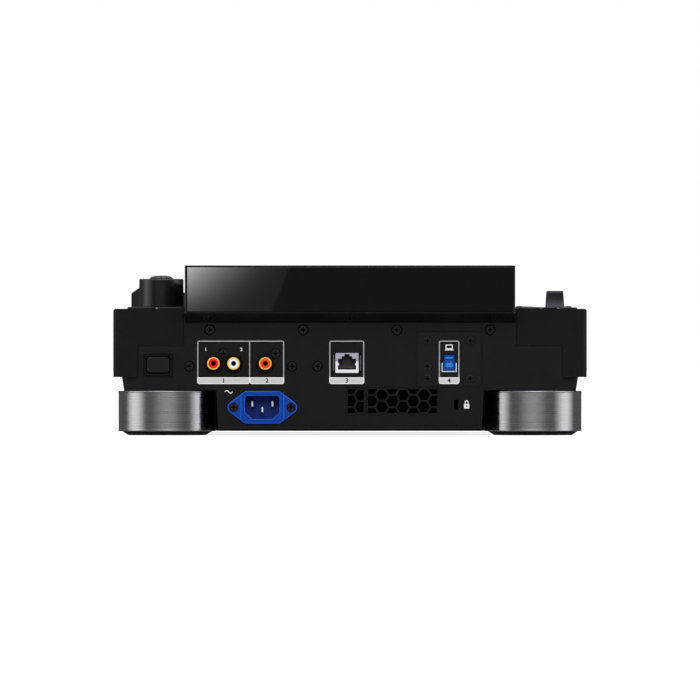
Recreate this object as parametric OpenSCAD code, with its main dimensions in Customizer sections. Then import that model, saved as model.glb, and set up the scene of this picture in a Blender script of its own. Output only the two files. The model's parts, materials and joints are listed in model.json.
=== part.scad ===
// Tabletop DJ media player: a moulded case on four turned feet, with a tilted touch screen,
// a jog wheel round a fixed centre display, performance keys, and connectors on a steel rear panel.
// +Z is up, +Y points to the rear panel, +X is to the user's right.

/* [Case] */
// Width of the case across its side walls
case_w = 329; // [325:1:400]
// Depth of the case from the front wall to the rear panel
case_d = 436.5; // [430:0.5:530]
// Height of the top deck above the table
deck_z = 88; // [86:0.5:100]
// Height of the lower edge of the side walls above the table
skirt_z = 40.5; // [38:0.5:42]
// Wall thickness of the moulded case
case_wall = 3; // [2.4:0.1:3.6]
// Radius of the upright case corners
corner_r = 4; // [2:0.5:8]
// Gap along each seam between two housings
seam = 0.3; // [0.2:0.05:0.5]

/* [Chassis] */
// Width of the lower pan at its floor
pan_w = 183; // [160:0.5:184]
// Height of the pan floor above the table
pan_z = 3.1; // [2:0.1:5]
// Height of the tray floor beside the pan
tray_z = 31.7; // [31.5:0.1:34]
// Thickness of the steel chassis and rear panel
sheet = 2; // [1.5:0.1:2.4]
// Inset of the rear panel's side edges from the case side
panel_inset = 17.5; // [15.5:0.5:18.5]
// Height of the ledge where the rear panel steps in
panel_ledge_z = 62.2; // [60:0.1:66]

/* [Feet] */
// Outside diameter of the turned foot ring
foot_d = 68; // [60:0.5:68]
// Height of the top of the foot ring above the table
foot_top_z = 31; // [28:0.1:31.2]
// Inset of the foot centres from the case side
foot_inset_x = 37.1; // [36:0.1:45]
// Inset of the rear foot centres from the rear panel
foot_inset_rear = 25; // [25:0.5:60]
// Inset of the front foot centres from the front wall
foot_inset_front = 36.5; // [36:0.5:60]

/* [Screen] */
// Width of the screen housing
screen_w = 229.2; // [226:0.1:236]
// Length of the screen housing from its front edge to its back face
screen_d = 157.5; // [154:0.5:164]
// How far the screen housing hangs out behind the rear panel
screen_overhang = 16.5; // [12:0.5:20]
// Height of the top edge of the screen housing above the table
screen_top_z = 118; // [112:0.5:126]
// Wall thickness of the screen housing
screen_wall = 3.2; // [2.8:0.1:3.6]
// Touch glass, across and along the slope
glass_size = [217, 124]; // [100:0.5:220]
// Thickness of the touch glass
glass_t = 1.8; // [1.2:0.1:2]

/* [Jog wheel] */
// Outside diameter of the turning platter
jog_d = 206; // [190:1:208]
// Distance of the jog centre from the front wall
jog_inset = 128; // [124:0.5:140]
// Height of the platter rim above the deck
jog_rise = 16.5; // [15:0.5:20]
// Diameter of the bearing hub
hub_d = 54; // [48:1:56]
// Running clearance of the platter on its hub, on the radius
hub_play = 0.05; // [0.03:0.01:0.1]
// Number of finger dimples round the rim
dimples = 36; // [24:1:40]
// Radius of the ball that forms a dimple
dimple_r = 7.5; // [6:0.5:9]
// Depth of a dimple below the sloped rim
dimple_depth = 1.4; // [0.8:0.1:1.6]

/* [Controls] */
// Diameter of the play and cue keys
transport_d = 40; // [36:0.5:41]
// Performance pad, across and deep
pad_size = [20.5, 12]; // [8:0.5:22]
// Loop and beat key, across and deep
loop_key_size = [18, 11]; // [6:0.5:18]
// Small key, across and deep
small_key_size = [18, 8]; // [5:0.5:18]
// Clearance between a key and its opening, on each side
key_gap = 0.35; // [0.25:0.05:0.5]
// Travel of a key
key_travel = 0.8; // [0.4:0.1:0.9]
// Diameter of the selector knob
selector_d = 31; // [26:0.5:32]
// Height of the selector knob above the deck
selector_rise = 21; // [18:0.5:24]
// Diameter of the two small knobs
small_knob_d = 13; // [11:0.5:15]
// Travel of the tempo fader
fader_travel = 100; // [80:1:100]
// Width of the direction lever at the deck
lever_w = 13.8; // [10:0.1:14]
// Width of the direction lever at its top
lever_top_w = 12; // [8:0.1:13]
// Height of the direction lever above the deck
lever_rise = 13.5; // [10:0.5:15]

/* [Connectors] */
// Height of the phono socket centres
phono_z = 50; // [49.5:0.1:50.5]
// Diameter of the phono socket collar
phono_d = 12.6; // [11:0.1:13]
// Centre of the mains inlet, across and up
inlet_at = [60.9, 19.5]; // [15:0.1:64]
// Socket of the mains inlet, across and up
inlet_socket = [24, 16.2]; // [15:0.1:24.2]
// Middle of the inlet flange, across and up
inlet_flange = [24, 22.6]; // [21.5:0.1:27]
// Network jack shell, across and up
network_size = [16.1, 13.9]; // [13.5:0.1:17]
// Wall left between two holes of the vent
vent_web = 1.3; // [0.8:0.1:2.4]
// Distance between two rows of vent holes
vent_pitch = 8.4; // [7.5:0.1:9]

/* [Hidden] */
$fn = 96;

// Main planes of the case
front_y = -(case_d + screen_overhang) / 2;
rear_y = front_y + case_d;
back_y = -front_y;
case_hw = case_w / 2;
deck_low = deck_z - case_wall;
panel_in_y = rear_y - sheet;
edge_chamfer = 1.2;

// Feet
foot_r = foot_d / 2;
foot_x = case_hw - foot_inset_x;
foot_ys = [front_y + foot_inset_front, rear_y - foot_inset_rear];
neck_top_r = 31.5;
neck_low_r = 30;
saddle_hw = foot_x - neck_low_r + 1;
spigot_r = 27;
spigot_wall = 3;
pad_groove_z = 2.85;
pad_seat_z = 6;
web_top_z = 9;
pad_top_r = 31.3;
pad_low_r = 26.8;

// Chassis sections
pan_hw = pan_w / 2;
pan_top_hw = pan_hw + 1.4;
tray_low_hw = foot_x + 15;
tray_front_y = front_y + 14;
pan_front_y = front_y + 26;
flange_hw = case_hw - case_wall - seam;
panel_low_hw = case_hw - panel_inset;
panel_high_hw = screen_w / 2 + 0.7;

// Screen housing: its face starts a little above the deck and rises to the back
face_front_y = back_y - screen_d;
face_front_z = deck_z + 1.5;
face_angle = atan((screen_top_z - face_front_z) / screen_d);
face_len = screen_d / cos(face_angle);
back_low_z = screen_top_z - 33.2;
under_low_z = back_low_z - 6.6;
under_angle = atan((back_low_z - under_low_z) / screen_overhang);
glass_start = 7;
screen_key_size = [27, 7];
screen_key_pitch = 34;
screen_key_s = glass_start + glass_size[1] + 12;
screen_key_rise = 1;
module_size = [glass_size[0] - 12, glass_size[1] - 6, 6];
back_chamfer = 0.8;
back_glass_t = 1.6;
back_glass_size = [screen_w - 2.8, screen_top_z - back_low_z - 1.8];

// Jog wheel, as radii and heights
jog_y = front_y + jog_inset;
jog_r = jog_d / 2;
jog_rim_gap = 1.2;
jog_ring_r = jog_r + jog_rim_gap + 2.8;
cup_r = jog_r - 3;
cup_floor_z = deck_z - 12;
hub_r = hub_d / 2;
hub_top_z = deck_z + 10;
plate_z = deck_z + jog_rise - 5.5;
display_r = hub_r + 3.6;
sleeve_wall = 3.4;
// The rim slopes from its side up to its crest
rim_side = [jog_r, plate_z - 0.5];
rim_crest = [jog_r - 4.5, deck_z + jog_rise - 0.6];
rim_angle = atan2(rim_side[0] - rim_crest[0], rim_crest[1] - rim_side[1]);
dimple_at = (rim_side + rim_crest) / 2
    + (dimple_r - dimple_depth) * [cos(rim_angle), sin(rim_angle)];

// Key columns and rows, from the front wall up
left_x = -(case_hw - 25);
right_x = case_hw - 19.5;
selector_x = screen_w / 2 + selector_d / 2 + 1.7;
key_dx = 11;
play_y = front_y + 32;
cue_y = play_y + transport_d + 8;
track_y = cue_y + transport_d / 2 + 16;
search_y = track_y + 20;
lever_y = search_y + 40;
jump_y = lever_y + 36;
loop_y = jump_y + 24;
reloop_y = loop_y + 20;
beat_loop_y = reloop_y + 20;
mode_y = beat_loop_y + 28;
usb_stop_y = mode_y + 36;
usb_y = usb_stop_y + 27;
door_y = usb_y + 29;
pads_y = jog_y + jog_ring_r + 29;
pad_pitch = pad_size[0] + 5.5;
browse_y = rear_y - 19;
selector_y = browse_y - 41;
filter_y = selector_y - 40;
jog_mode_y = filter_y - 26;
small_knob_y = jog_mode_y - 34;
sync_y = small_knob_y - 32;
key_sync_y = sync_y - 20;
tempo_y = key_sync_y - 24;
fader_y = front_y + 100;
reset_y = front_y + 36;
small_knob_dx = 9.7;
right_keys_x = selector_x + 3;
lever_x = left_x - 6.5;

// Where each key stands
loop_in_at = [left_x - key_dx, loop_y];
loop_out_at = [left_x + key_dx, loop_y];
reloop_at = [left_x - key_dx, reloop_y];
call_at = [left_x + key_dx, reloop_y];
beat_loop_at = [for (s = [-1, 1]) [left_x + s * key_dx, beat_loop_y]];
beat_jump_at = [for (s = [-1, 1]) [left_x + s * key_dx, jump_y]];
track_at = [for (s = [-1, 1]) [left_x + s * key_dx, track_y]];
search_at = [for (s = [-1, 1]) [left_x + s * key_dx, search_y]];
mode_at = [[left_x - key_dx, mode_y], [left_x + key_dx, mode_y], [left_x - key_dx, mode_y + 16]];
browse_at = [for (y = [browse_y, filter_y], s = [-1, 1]) [right_keys_x + s * key_dx, y]];
jog_mode_at = [right_keys_x, jog_mode_y];
sync_at = concat([for (s = [-1, 1]) [right_keys_x + s * key_dx, sync_y]],
    [[right_keys_x - key_dx, key_sync_y]]);
tempo_at = concat([for (s = [-1, 1]) [right_keys_x + s * key_dx, tempo_y]],
    [[right_x - 23, reset_y]]);
usb_stop_at = [left_x, usb_stop_y];
function pad_at(i) = [(i - 4.5) * pad_pitch, pads_y];
pads_at = [for (i = [1:8]) pad_at(i)];

// Heights in a key: cap top, collar under the deck, nub over the switch
key_rise = 1.3;
collar_gap = 0.3;
collar_t = 1;
collar_lip = 0.9;
nub_len = 0.8;
key_low_z = deck_low - collar_gap - collar_t - nub_len;
switch_top_z = key_low_z - key_travel - 0.1;
switch_h = 2.4;
switch_r = 2.4;
board_t = 1.6;
key_board_top = switch_top_z - switch_h;
strip_w = 47;
left_strip_x = left_x - 12.7;
right_strip_x = selector_x - 26.6;
right_strip_y = min(tempo_y - 8, pads_y - 12);

// Posts of the key board and screw towers of the case
post_r = 3;
post_xs = [-110, 110];
post_ys = [front_y + 21.5, front_y + 156.5, front_y + 289];
boss_x = case_hw - 7.7;
boss_r = 3.2;
boss_at = concat([for (y = [front_y + 14.5, lever_y - 19, mode_y - 15, rear_y - 10]) [-boss_x, y]],
    [for (y = [front_y + 14.5, fader_y + 57, small_knob_y + 12.5, rear_y - 10]) [boss_x, y]]);

// Selector, knobs, lever and fader
shaft_r = 3;
shaft_play = 0.05;
bushing_r = 4.5;
bushing_rise = 4;
push_travel = 1;
knob_float = 1.2;
crown_r = 8.9;
crown_h = 2.3;
crown_notches = 12;
small_knob_rise = 12;
lever_t = 7;
lever_top_t = 5;
lever_hub_r = 2.6;
lever_edge = 0.7;
lever_pivot_z = key_board_top + 3.4;
lever_swing = 12;
lever_slot = lever_t + 2 * (deck_z - lever_pivot_z) * tan(lever_swing) + 1;
lever_pin_r = 1.5;
lug_t = 2.5;
fader_cap_size = [24, 14];
fader_cap_rise = 16;
fader_stem = [1.6, 8];
fader_body_size = [9, fader_travel + 24, 12];

// Card door
door_size = [28, 20];
door_t = 1.8;
door_pin_r = 0.8;
door_barrel_r = 1.3;
door_axis_z = deck_z - door_barrel_r;
door_axis_y = door_y + door_size[1] / 2 - door_barrel_r;
card_slot = [24.8, 2.6, 24];

// Rear panel: sockets, vent and screws, as [x, z] on the panel
phono_xs = [94.8, 80.8, 58.8];
network_at = [2.1, 50.35];
usb_b_at = [-68.9, 48.1];
power_at = [133.2, 49.05];
cover_at = [-68.8, 53];
cover_size = [44.3, 37.8];
cover_t = 1.2;
cover_channel_w = 17.1;
vent_box = [61.9, 16.6];
vent_at = [-29.45, 23.9];
vent_recess = [64.2, 19.4];
lock_at = [-73.8, 21.25];
lock_slot = [3, 7];
deck_screws = [for (x = [97.4, 32.5, -32.5, -97.4]) [x, 73.3]];
chassis_screws = [[111.6, 48], [40.2, 48], [22.6, 48]];
phono_screws = [[87.9, 56.9], [51.7, 56.9]];
inlet_screw_dx = 19.9;
cover_screws = [[-53.8, 65.6], [-83.6, 65.6], [-53.8, 47.9], [-53.8, 39.5], [-83.6, 39.5]];
under_screw_xs = [100, 0, -100];
head_r = 2.95;
head_h = 1.1;
head_recess_r = 3.7;
small_recess_r = 3.3;
screw_r = 1.5;
pilot_r = screw_r + 0.05;
screw_len = 8;
inlet_flange_t = 2.5;
inlet_ear_t = 1.9;
inlet_ear_r = 4.3;
inlet_block_w = 30.4;
inlet_body = [28, 20];
inlet_depth = 24;
inlet_floor = 17;
network_opening = [[12.6, 7.4], [7.3, 1.7], [3.7, 1.6]];
network_floor_z = 2.4;
spring_t = 0.6;
spring_gap = 1;
spring_h = 10.9;
main_board_top = network_at[1] - network_size[1] / 2;
panel_top_z = deck_low - seam;

// Inside: power supply and main board
supply_xs = [22, 82];
supply_ys = [rear_y - 180, rear_y - 50];
supply_base_z = pan_z + sheet + 5;
main_board_x = 122;
main_xs = [-112, 112];
main_ys = [rear_y - 120, rear_y - 62];

// Outline mirrored left to right from the points of its right half, bottom to top
module mirrored(points) polygon(concat(points,
    [for (i = [len(points) - 1:-1:0]) [-points[i][0], points[i][1]]]));

// Rectangle with true round corners
module round_plan(w, d, r) {
    square([w - 2 * r, d], center = true);
    square([w, d - 2 * r], center = true);
    for (sx = [-1, 1], sy = [-1, 1])
        translate([sx * (w / 2 - r), sy * (d / 2 - r)]) circle(r);
}

// Small key outline, grown by a clearance
module key_outline(size, grow = 0) offset(delta = grow)
    offset(r = 1.5, $fn = 12) square([size[0] - 3, size[1] - 3], center = true);

// Places a child on the rear panel: X across, Y up, Z into the case
module on_rear(at) translate([at[0], rear_y, at[1]]) rotate([90, 0, 0]) children();

// Places a child on the tilted screen face: Y up the slope, Z out of the face
module on_face(s) translate([0, face_front_y, face_front_z]) rotate([face_angle, 0, 0])
    translate([0, s, 0]) children();

// Places a child on the sloping underside behind the rear panel: Z into the housing
module on_underside(x) translate([x, rear_y + screen_overhang / 2, (back_low_z + under_low_z) / 2])
    rotate([under_angle, 0, 0]) children();

// Places a child at each of the four feet
module at_feet() for (sx = [-1, 1], y = foot_ys) translate([sx * foot_x, y, 0]) children();

// Block with the plan of the case, drawn in by a wall
module case_block(inset, low, high) translate([0, (front_y + rear_y) / 2, low])
    linear_extrude(high - low)
        round_plan(case_w - 2 * inset, case_d - 2 * inset, max(corner_r - inset, 0.8));

// Outline that the rear panel fills in the case
module panel_outline() mirrored([[pan_hw, pan_z], [pan_top_hw, tray_z], [tray_low_hw, tray_z],
    [panel_low_hw, skirt_z], [panel_low_hw, panel_ledge_z], [panel_high_hw, panel_ledge_z],
    [panel_high_hw, panel_top_z]]);

// Openings in the deck, seen from above
module deck_openings() {
    for (p = [loop_in_at, loop_out_at, reloop_at, call_at]) translate(p)
        key_outline(loop_key_size, key_gap);
    for (p = concat(beat_loop_at, beat_jump_at)) translate(p) key_outline(loop_key_size, key_gap);
    for (p = concat(track_at, search_at, mode_at, browse_at, sync_at, tempo_at)) translate(p)
        key_outline(small_key_size, key_gap);
    for (p = [jog_mode_at, usb_stop_at]) translate(p) key_outline(small_key_size, key_gap);
    for (p = pads_at) translate(p) key_outline(pad_size, key_gap);
    for (y = [play_y, cue_y]) translate([left_x, y]) circle(transport_d / 2 + key_gap);
    translate([0, jog_y]) circle(cup_r + seam);
    translate([selector_x, selector_y]) circle(bushing_r + seam);
    for (s = [-1, 1]) translate([selector_x + s * small_knob_dx, small_knob_y])
        circle(bushing_r + seam);
    translate([lever_x, lever_y]) square([lever_w + 2 * seam, lever_slot], center = true);
    translate([right_x, fader_y])
        square([fader_stem[0] + 1, fader_travel + fader_stem[1] + 1], center = true);
    translate([left_x, usb_y]) square([15, 8], center = true);
    translate([left_x, door_y])
        square([door_size[0] + 2 * seam, door_size[1] + 2 * seam], center = true);
    translate([-screen_w / 2 + 11, face_front_y + 9])
        square([screen_w - 22, rear_y - face_front_y - 24]);
}

module upper_case() color("#1a1a1c") difference() {
    union() {
        difference() {
            case_block(0, skirt_z, deck_z);
            case_block(case_wall, skirt_z - 1, deck_low);
            // The rear panel fills this part of the rear wall
            translate([0, rear_y + 1, 0]) rotate([90, 0, 0]) linear_extrude(case_wall + 2)
                offset(delta = seam) panel_outline();
            translate([0, 0, deck_low - 1]) linear_extrude(case_wall + 2) deck_openings();
        }
        // Screw towers on the chassis flange
        for (p = boss_at) translate([p[0], p[1], skirt_z + sheet])
            cylinder(r = boss_r, h = deck_low - skirt_z - sheet);
        // Posts that hold the key board
        for (x = post_xs, y = post_ys) translate([x, y, key_board_top])
            cylinder(r = post_r, h = deck_low - key_board_top);
        // Lugs that carry the pin of the direction lever
        for (s = [-1, 1]) translate([lever_x + s * (lever_w / 2 + seam + lug_t / 2), lever_y,
                (lever_pivot_z - 3.5 + deck_low) / 2])
            cube([lug_t, 7, deck_low - lever_pivot_z + 3.5], center = true);
        // Bosses for the top row of rear screws
        for (p = deck_screws) {
            on_rear(p) translate([0, 0, sheet]) cylinder(r = 4, h = 9);
            translate([p[0] - 4, panel_in_y - 9, p[1]]) cube([8, 9, deck_low - p[1]]);
        }
    }
    for (p = deck_screws) on_rear(p) cylinder(r = pilot_r, h = 10);
    // Chamfer along the upper edges
    for (s = [-1, 1]) translate([s * case_hw, 0, deck_z]) rotate([0, 45, 0])
        cube([edge_chamfer * sqrt(2), case_d * 2, edge_chamfer * sqrt(2)], center = true);
    translate([0, front_y, deck_z]) rotate([45, 0, 0])
        cube([case_w * 2, edge_chamfer * sqrt(2), edge_chamfer * sqrt(2)], center = true);
    translate([lever_x - lever_w / 2 - 4, lever_y, lever_pivot_z]) rotate([0, 90, 0])
        cylinder(r = lever_pin_r + shaft_play, h = lever_w + 8, $fn = 32);
    // Bores for the pins of the card door
    translate([left_x - door_size[0] / 2 - 2, door_axis_y, door_axis_z]) rotate([0, 90, 0])
        cylinder(r = door_pin_r + shaft_play, h = door_size[0] + 4, $fn = 32);
}

// Section of the chassis across the machine, drawn in by the sheet thickness
module tray_section(t) mirrored([[tray_low_hw - t / 2, tray_z + t], [panel_low_hw - t, skirt_z + t],
    [panel_low_hw - t, skirt_z + sheet + t]]);

module pan_section(t) mirrored([[pan_hw - t, pan_z + t], [pan_top_hw - t, tray_z + 2 * t]]);

module run_along(y0, y1) translate([0, y1, 0]) rotate([90, 0, 0]) linear_extrude(y1 - y0) children();

module bottom_chassis() color("#232427") {
    difference() {
        union() {
            run_along(tray_front_y, panel_in_y) tray_section(0);
            run_along(pan_front_y, panel_in_y) pan_section(0);
            translate([-flange_hw, front_y + case_wall + seam, skirt_z])
                cube([2 * flange_hw, case_d - 2 * (case_wall + seam), sheet]);
            // Saddle pressed into the tray floor, which rests on the inner side of the foot rings
            run_along(tray_front_y, panel_in_y) translate([-saddle_hw, foot_top_z])
                square([2 * saddle_hw, tray_z - foot_top_z + 0.1]);
            at_feet() translate([0, 0, foot_top_z])
                cylinder(r1 = neck_low_r, r2 = neck_top_r, h = skirt_z - foot_top_z);
            at_feet() translate([0, 0, web_top_z]) cylinder(r = spigot_r, h = tray_z - web_top_z);
        }
        run_along(tray_front_y + sheet, panel_in_y + 1) tray_section(sheet);
        run_along(pan_front_y + sheet, panel_in_y + 1) pan_section(sheet);
        at_feet() translate([0, 0, web_top_z + spigot_wall])
            cylinder(r = spigot_r - spigot_wall, h = deck_z);
        at_feet() cylinder(r = pilot_r, h = deck_z, $fn = 32);
        // The corner necks are cut flat where the rear panel covers them
        run_along(panel_in_y, panel_in_y + 20) mirrored([[tray_low_hw, foot_top_z],
            [tray_low_hw, tray_z], [panel_low_hw, skirt_z], [panel_low_hw, skirt_z + 5]]);
    }
    // Posts behind the middle row of rear screws
    for (p = chassis_screws) difference() {
        low = abs(p[0]) < pan_hw ? pan_z + sheet : tray_z + sheet;
        translate([p[0] - 3.5, panel_in_y - 9, low]) cube([7, 9, p[1] + 3.5 - low]);
        on_rear(p) cylinder(r = pilot_r, h = 10, $fn = 32);
        on_rear(inlet_at - [inlet_screw_dx, 0]) cylinder(r = pilot_r, h = 10, $fn = 32);
    }
    // Stand-offs for the power supply and the main board
    for (x = supply_xs, y = supply_ys) translate([x, y, pan_z + sheet])
        cylinder(r = post_r, h = supply_base_z - pan_z - sheet, $fn = 32);
    for (x = main_xs, y = main_ys) translate([x, y, tray_z + sheet])
        cylinder(r = post_r, h = main_board_top - board_t - tray_z - sheet, $fn = 32);
    // Rib behind the vent
    translate([-12.5, panel_in_y - 14, pan_z + sheet]) cube([3, 14, 30]);
}

module rear_panel() color("#1d1d20") difference() {
    on_rear([0, 0]) linear_extrude(sheet) difference() {
        panel_outline();
        for (x = phono_xs) translate([x, phono_z]) circle(phono_d / 2 + 0.1);
        translate(network_at)
            square(network_size + [2 * (spring_gap + spring_t) + 0.2, 0.6], center = true);
        translate(power_at) square([19.2, 14.2], center = true);
        translate(inlet_at) square(inlet_body + [0.4, 0.4], center = true);
        translate(cover_at + [0, -1]) square([20, 26], center = true);
        translate(lock_at) square(lock_slot, center = true);
        vent_holes();
        for (p = concat(deck_screws, chassis_screws, phono_screws, cover_screws)) translate(p)
            circle(screw_r + 0.2, $fn = 32);
        for (s = [-1, 1]) translate(inlet_at + [s * inlet_screw_dx, 0])
            circle(screw_r + 0.2, $fn = 32);
    }
    for (p = concat(deck_screws, chassis_screws)) on_rear(p) translate([0, 0, -1])
        cylinder(r = head_recess_r, h = 1 + head_h, $fn = 48);
    for (p = phono_screws) on_rear(p) translate([0, 0, -1])
        cylinder(r = small_recess_r, h = 1 + head_h, $fn = 48);
    on_rear(vent_at) translate([0, 0, -1]) linear_extrude(1.8)
        square(vent_recess, center = true);
    on_rear(cover_at) translate([0, 0, -1]) linear_extrude(1 + cover_t)
        square(cover_size + [0.6, 0.6], center = true);
}

// Honeycomb of flat-topped holes, cut off at the edge of the vent
module vent_holes() intersection() {
    translate(vent_at) square(vent_box, center = true);
    for (k = [0:8], m = [-1:1]) {
        shift = k % 2 == 0 ? 0 : vent_pitch / 2;
        if (k % 2 == 0 || m < 1) translate(vent_at + [
                (4 - k) * vent_pitch * sqrt(3) / 2, m * vent_pitch + shift])
            circle((vent_pitch - vent_web) / sqrt(3), $fn = 6);
    }
}

// Side view of the screen housing, Y across and Z up
module screen_profile() polygon([[face_front_y, deck_z], [face_front_y, face_front_z],
    [back_y, screen_top_z], [back_y, back_low_z], [rear_y, under_low_z], [rear_y, deck_z]]);

// Extrudes a side view (Y, Z) over a width centred on X = 0
module across(w) translate([-w / 2, 0, 0]) rotate([90, 0, 90]) linear_extrude(w) children();

module screen_housing() color("#161618") difference() {
    across(screen_w) screen_profile();
    across(screen_w - 2 * screen_wall) offset(delta = -screen_wall) screen_profile();
    // Open to the deck below
    across(screen_w - 24) intersection() {
        offset(delta = -screen_wall) translate([0, -screen_wall]) screen_profile();
        translate([face_front_y + 10, deck_z - 1]) square([rear_y - face_front_y - 26, 30]);
    }
    on_face(glass_start + glass_size[1] / 2) {
        translate([0, 0, -glass_t]) linear_extrude(5)
            square(glass_size + [0.6, 0.6], center = true);
        translate([0, 0, -12]) linear_extrude(13)
            square([module_size[0] + 1, module_size[1] + 1], center = true);
    }
    for (i = [0:5]) on_face(screen_key_s) translate([(i - 2.5) * screen_key_pitch, 0, -8])
        linear_extrude(10) key_outline(screen_key_size, key_gap);
    // Seat of the glass on the back
    translate([0, back_y + 1, (screen_top_z + back_low_z) / 2]) rotate([90, 0, 0])
        linear_extrude(1 + back_glass_t) square(back_glass_size + [0.4, 0.4], center = true);
    // Chamfer along the upright edges of the back
    for (s = [-1, 1]) translate([s * screen_w / 2, back_y, screen_top_z / 2]) rotate([0, 0, 45])
        cube([back_chamfer * sqrt(2), back_chamfer * sqrt(2), screen_top_z + 2], center = true);
    for (x = under_screw_xs) on_underside(x) {
        translate([0, 0, -1]) cylinder(r = head_recess_r, h = 1 + head_h, $fn = 48);
        cylinder(r = pilot_r, h = 6, $fn = 32);
    }
}

module screen_glass() color("#0b0b0d") on_face(glass_start + glass_size[1] / 2)
    translate([0, 0, -glass_t]) linear_extrude(glass_t - 0.1) square(glass_size, center = true);

module screen_module() color("#3a3d42") on_face(glass_start + glass_size[1] / 2)
    translate([0, 0, -glass_t - 0.1 - module_size[2]]) linear_extrude(module_size[2])
        square([module_size[0], module_size[1]], center = true);

module screen_back_glass() color("#0c0c0e")
    translate([0, back_y - 0.1, (screen_top_z + back_low_z) / 2]) rotate([90, 0, 0])
        linear_extrude(back_glass_t - 0.1) square(back_glass_size, center = true);

module foot_rings() color("#a9abae") at_feet() rotate_extrude() polygon([
    [4, pad_seat_z], [pad_top_r + 0.3, pad_seat_z], [pad_top_r + 0.3, pad_groove_z],
    [foot_r - 0.4, pad_groove_z], [foot_r, pad_groove_z + 0.4], [foot_r, pad_groove_z + 1.2],
    [foot_r - 0.5, pad_groove_z + 1.7], [foot_r - 0.5, foot_top_z - 1.7], [foot_r, foot_top_z - 1.2],
    [foot_r, foot_top_z - 0.4], [foot_r - 0.4, foot_top_z], [spigot_r + seam, foot_top_z],
    [spigot_r + seam, web_top_z], [4, web_top_z]]);

module foot_pads() color("#101011") at_feet() rotate_extrude() polygon([
    [0, 0], [pad_low_r, 0], [pad_top_r, pad_groove_z], [pad_top_r, pad_seat_z], [0, pad_seat_z]]);

module jog_base() color("#1c1c1f") translate([0, jog_y, 0]) rotate_extrude() polygon([
    [8, cup_floor_z], [cup_r, cup_floor_z], [cup_r, deck_z], [jog_ring_r, deck_z],
    [jog_ring_r, deck_z + 4.4], [jog_ring_r - 0.8, deck_z + 5], [jog_r + jog_rim_gap, deck_z + 5],
    [jog_r + jog_rim_gap, deck_z + 2.4], [cup_r - 3, deck_z + 2.4], [cup_r - 3, cup_floor_z + 3],
    [hub_r, cup_floor_z + 3], [hub_r, hub_top_z], [8, hub_top_z]]);

module jog_display() color("#0a0a0c") translate([0, jog_y, 0]) rotate_extrude() polygon([
    [0, hub_top_z - 4], [8 - seam, hub_top_z - 4], [8 - seam, hub_top_z], [display_r, hub_top_z],
    [display_r, hub_top_z + 2.4], [display_r - 0.8, hub_top_z + 3.2], [display_r - 2.6, hub_top_z + 3.2],
    [display_r - 3, hub_top_z + 2.8], [0, hub_top_z + 2.8]]);

// The rim stands over the fixed ring; its slope carries the finger dimples
module jog_platter() color("#2b2c2f") translate([0, jog_y, 0]) difference() {
    rotate_extrude() polygon([
        [hub_r + hub_play, cup_floor_z + 4], [hub_r + sleeve_wall, cup_floor_z + 4],
        [hub_r + sleeve_wall, plate_z - 4], [jog_r - 12, plate_z - 4], [jog_r - 10, deck_z + 3.4],
        [jog_r - 0.6, deck_z + 3.4], [jog_r, deck_z + 4], rim_side,
        rim_crest, [jog_r - 6, deck_z + jog_rise],
        [jog_r - 7, deck_z + jog_rise], [jog_r - 8, deck_z + jog_rise - 1], [jog_r - 8, plate_z],
        [hub_r + sleeve_wall + 0.6, plate_z], [hub_r + sleeve_wall + 0.6, hub_top_z - 0.3],
        [hub_r + hub_play, hub_top_z - 0.3]]);
    for (i = [0:dimples - 1]) rotate([0, 0, i * 360 / dimples])
        translate([dimple_at[0], 0, dimple_at[1]]) sphere(r = dimple_r, $fn = 48);
}

module jog_top_plate() color("#3c3d40") translate([0, jog_y, 0]) rotate_extrude() polygon([
    [display_r + 0.6, plate_z], [jog_r - 8.3, plate_z], [jog_r - 8.3, plate_z + 0.8],
    [jog_r - 8.7, plate_z + 1.2], [display_r + 1, plate_z + 1.2], [display_r + 0.6, plate_z + 0.8]]);

module main_board() color("#1f5a3a") {
    translate([-main_board_x, rear_y - 150, main_board_top - board_t])
        cube([2 * main_board_x, 136, board_t]);
    // Processor heat sink and its fins
    translate([-60, rear_y - 110, main_board_top]) {
        cube([46, 46, 3]);
        for (i = [0:7]) translate([i * 6.3, 0, 3]) cube([1.9, 46, 8]);
    }
}

// Boards under the keys: a left strip, a bridge under the pads and a right strip
module key_board() color("#1f5a3a") {
    difference() {
        translate([0, 0, key_board_top - board_t]) linear_extrude(board_t) union() {
            translate([left_strip_x, front_y + 6]) square([strip_w, usb_stop_y + 2 - front_y]);
            translate([left_strip_x, pads_y - 12])
                square([right_strip_x + strip_w - left_strip_x, 24]);
            translate([right_strip_x, right_strip_y]) square([strip_w, rear_y - 12 - right_strip_y]);
        }
        translate([0, jog_y, key_board_top - 3]) cylinder(r = cup_r + 2, h = 6);
        translate([lever_x, lever_y, key_board_top]) cube([20, 20, 6], center = true);
    }
    // One tact switch under each key
    for (p = concat([loop_in_at, loop_out_at, reloop_at, call_at, jog_mode_at, usb_stop_at],
            [[left_x, play_y], [left_x, cue_y], tempo_at[0], tempo_at[1]], beat_loop_at,
            beat_jump_at, track_at, search_at, mode_at, browse_at, sync_at, pads_at))
        translate([p[0], p[1], key_board_top]) cylinder(r = switch_r, h = switch_h, $fn = 24);
}

module power_supply() color("#2f6a45") {
    translate([supply_xs[0] - 5, supply_ys[0] - 5, supply_base_z])
        cube([supply_xs[1] - supply_xs[0] + 10, supply_ys[1] - supply_ys[0] + 10, board_t]);
    base = supply_base_z + board_t;
    translate([34, rear_y - 130, base]) cube([34, 30, 20]);
    for (i = [0:2]) translate([34 + i * 16, rear_y - 75, base]) cylinder(d = 13, h = 19, $fn = 32);
    translate([24, rear_y - 178, base]) cube([54, 3, 20]);
}

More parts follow.
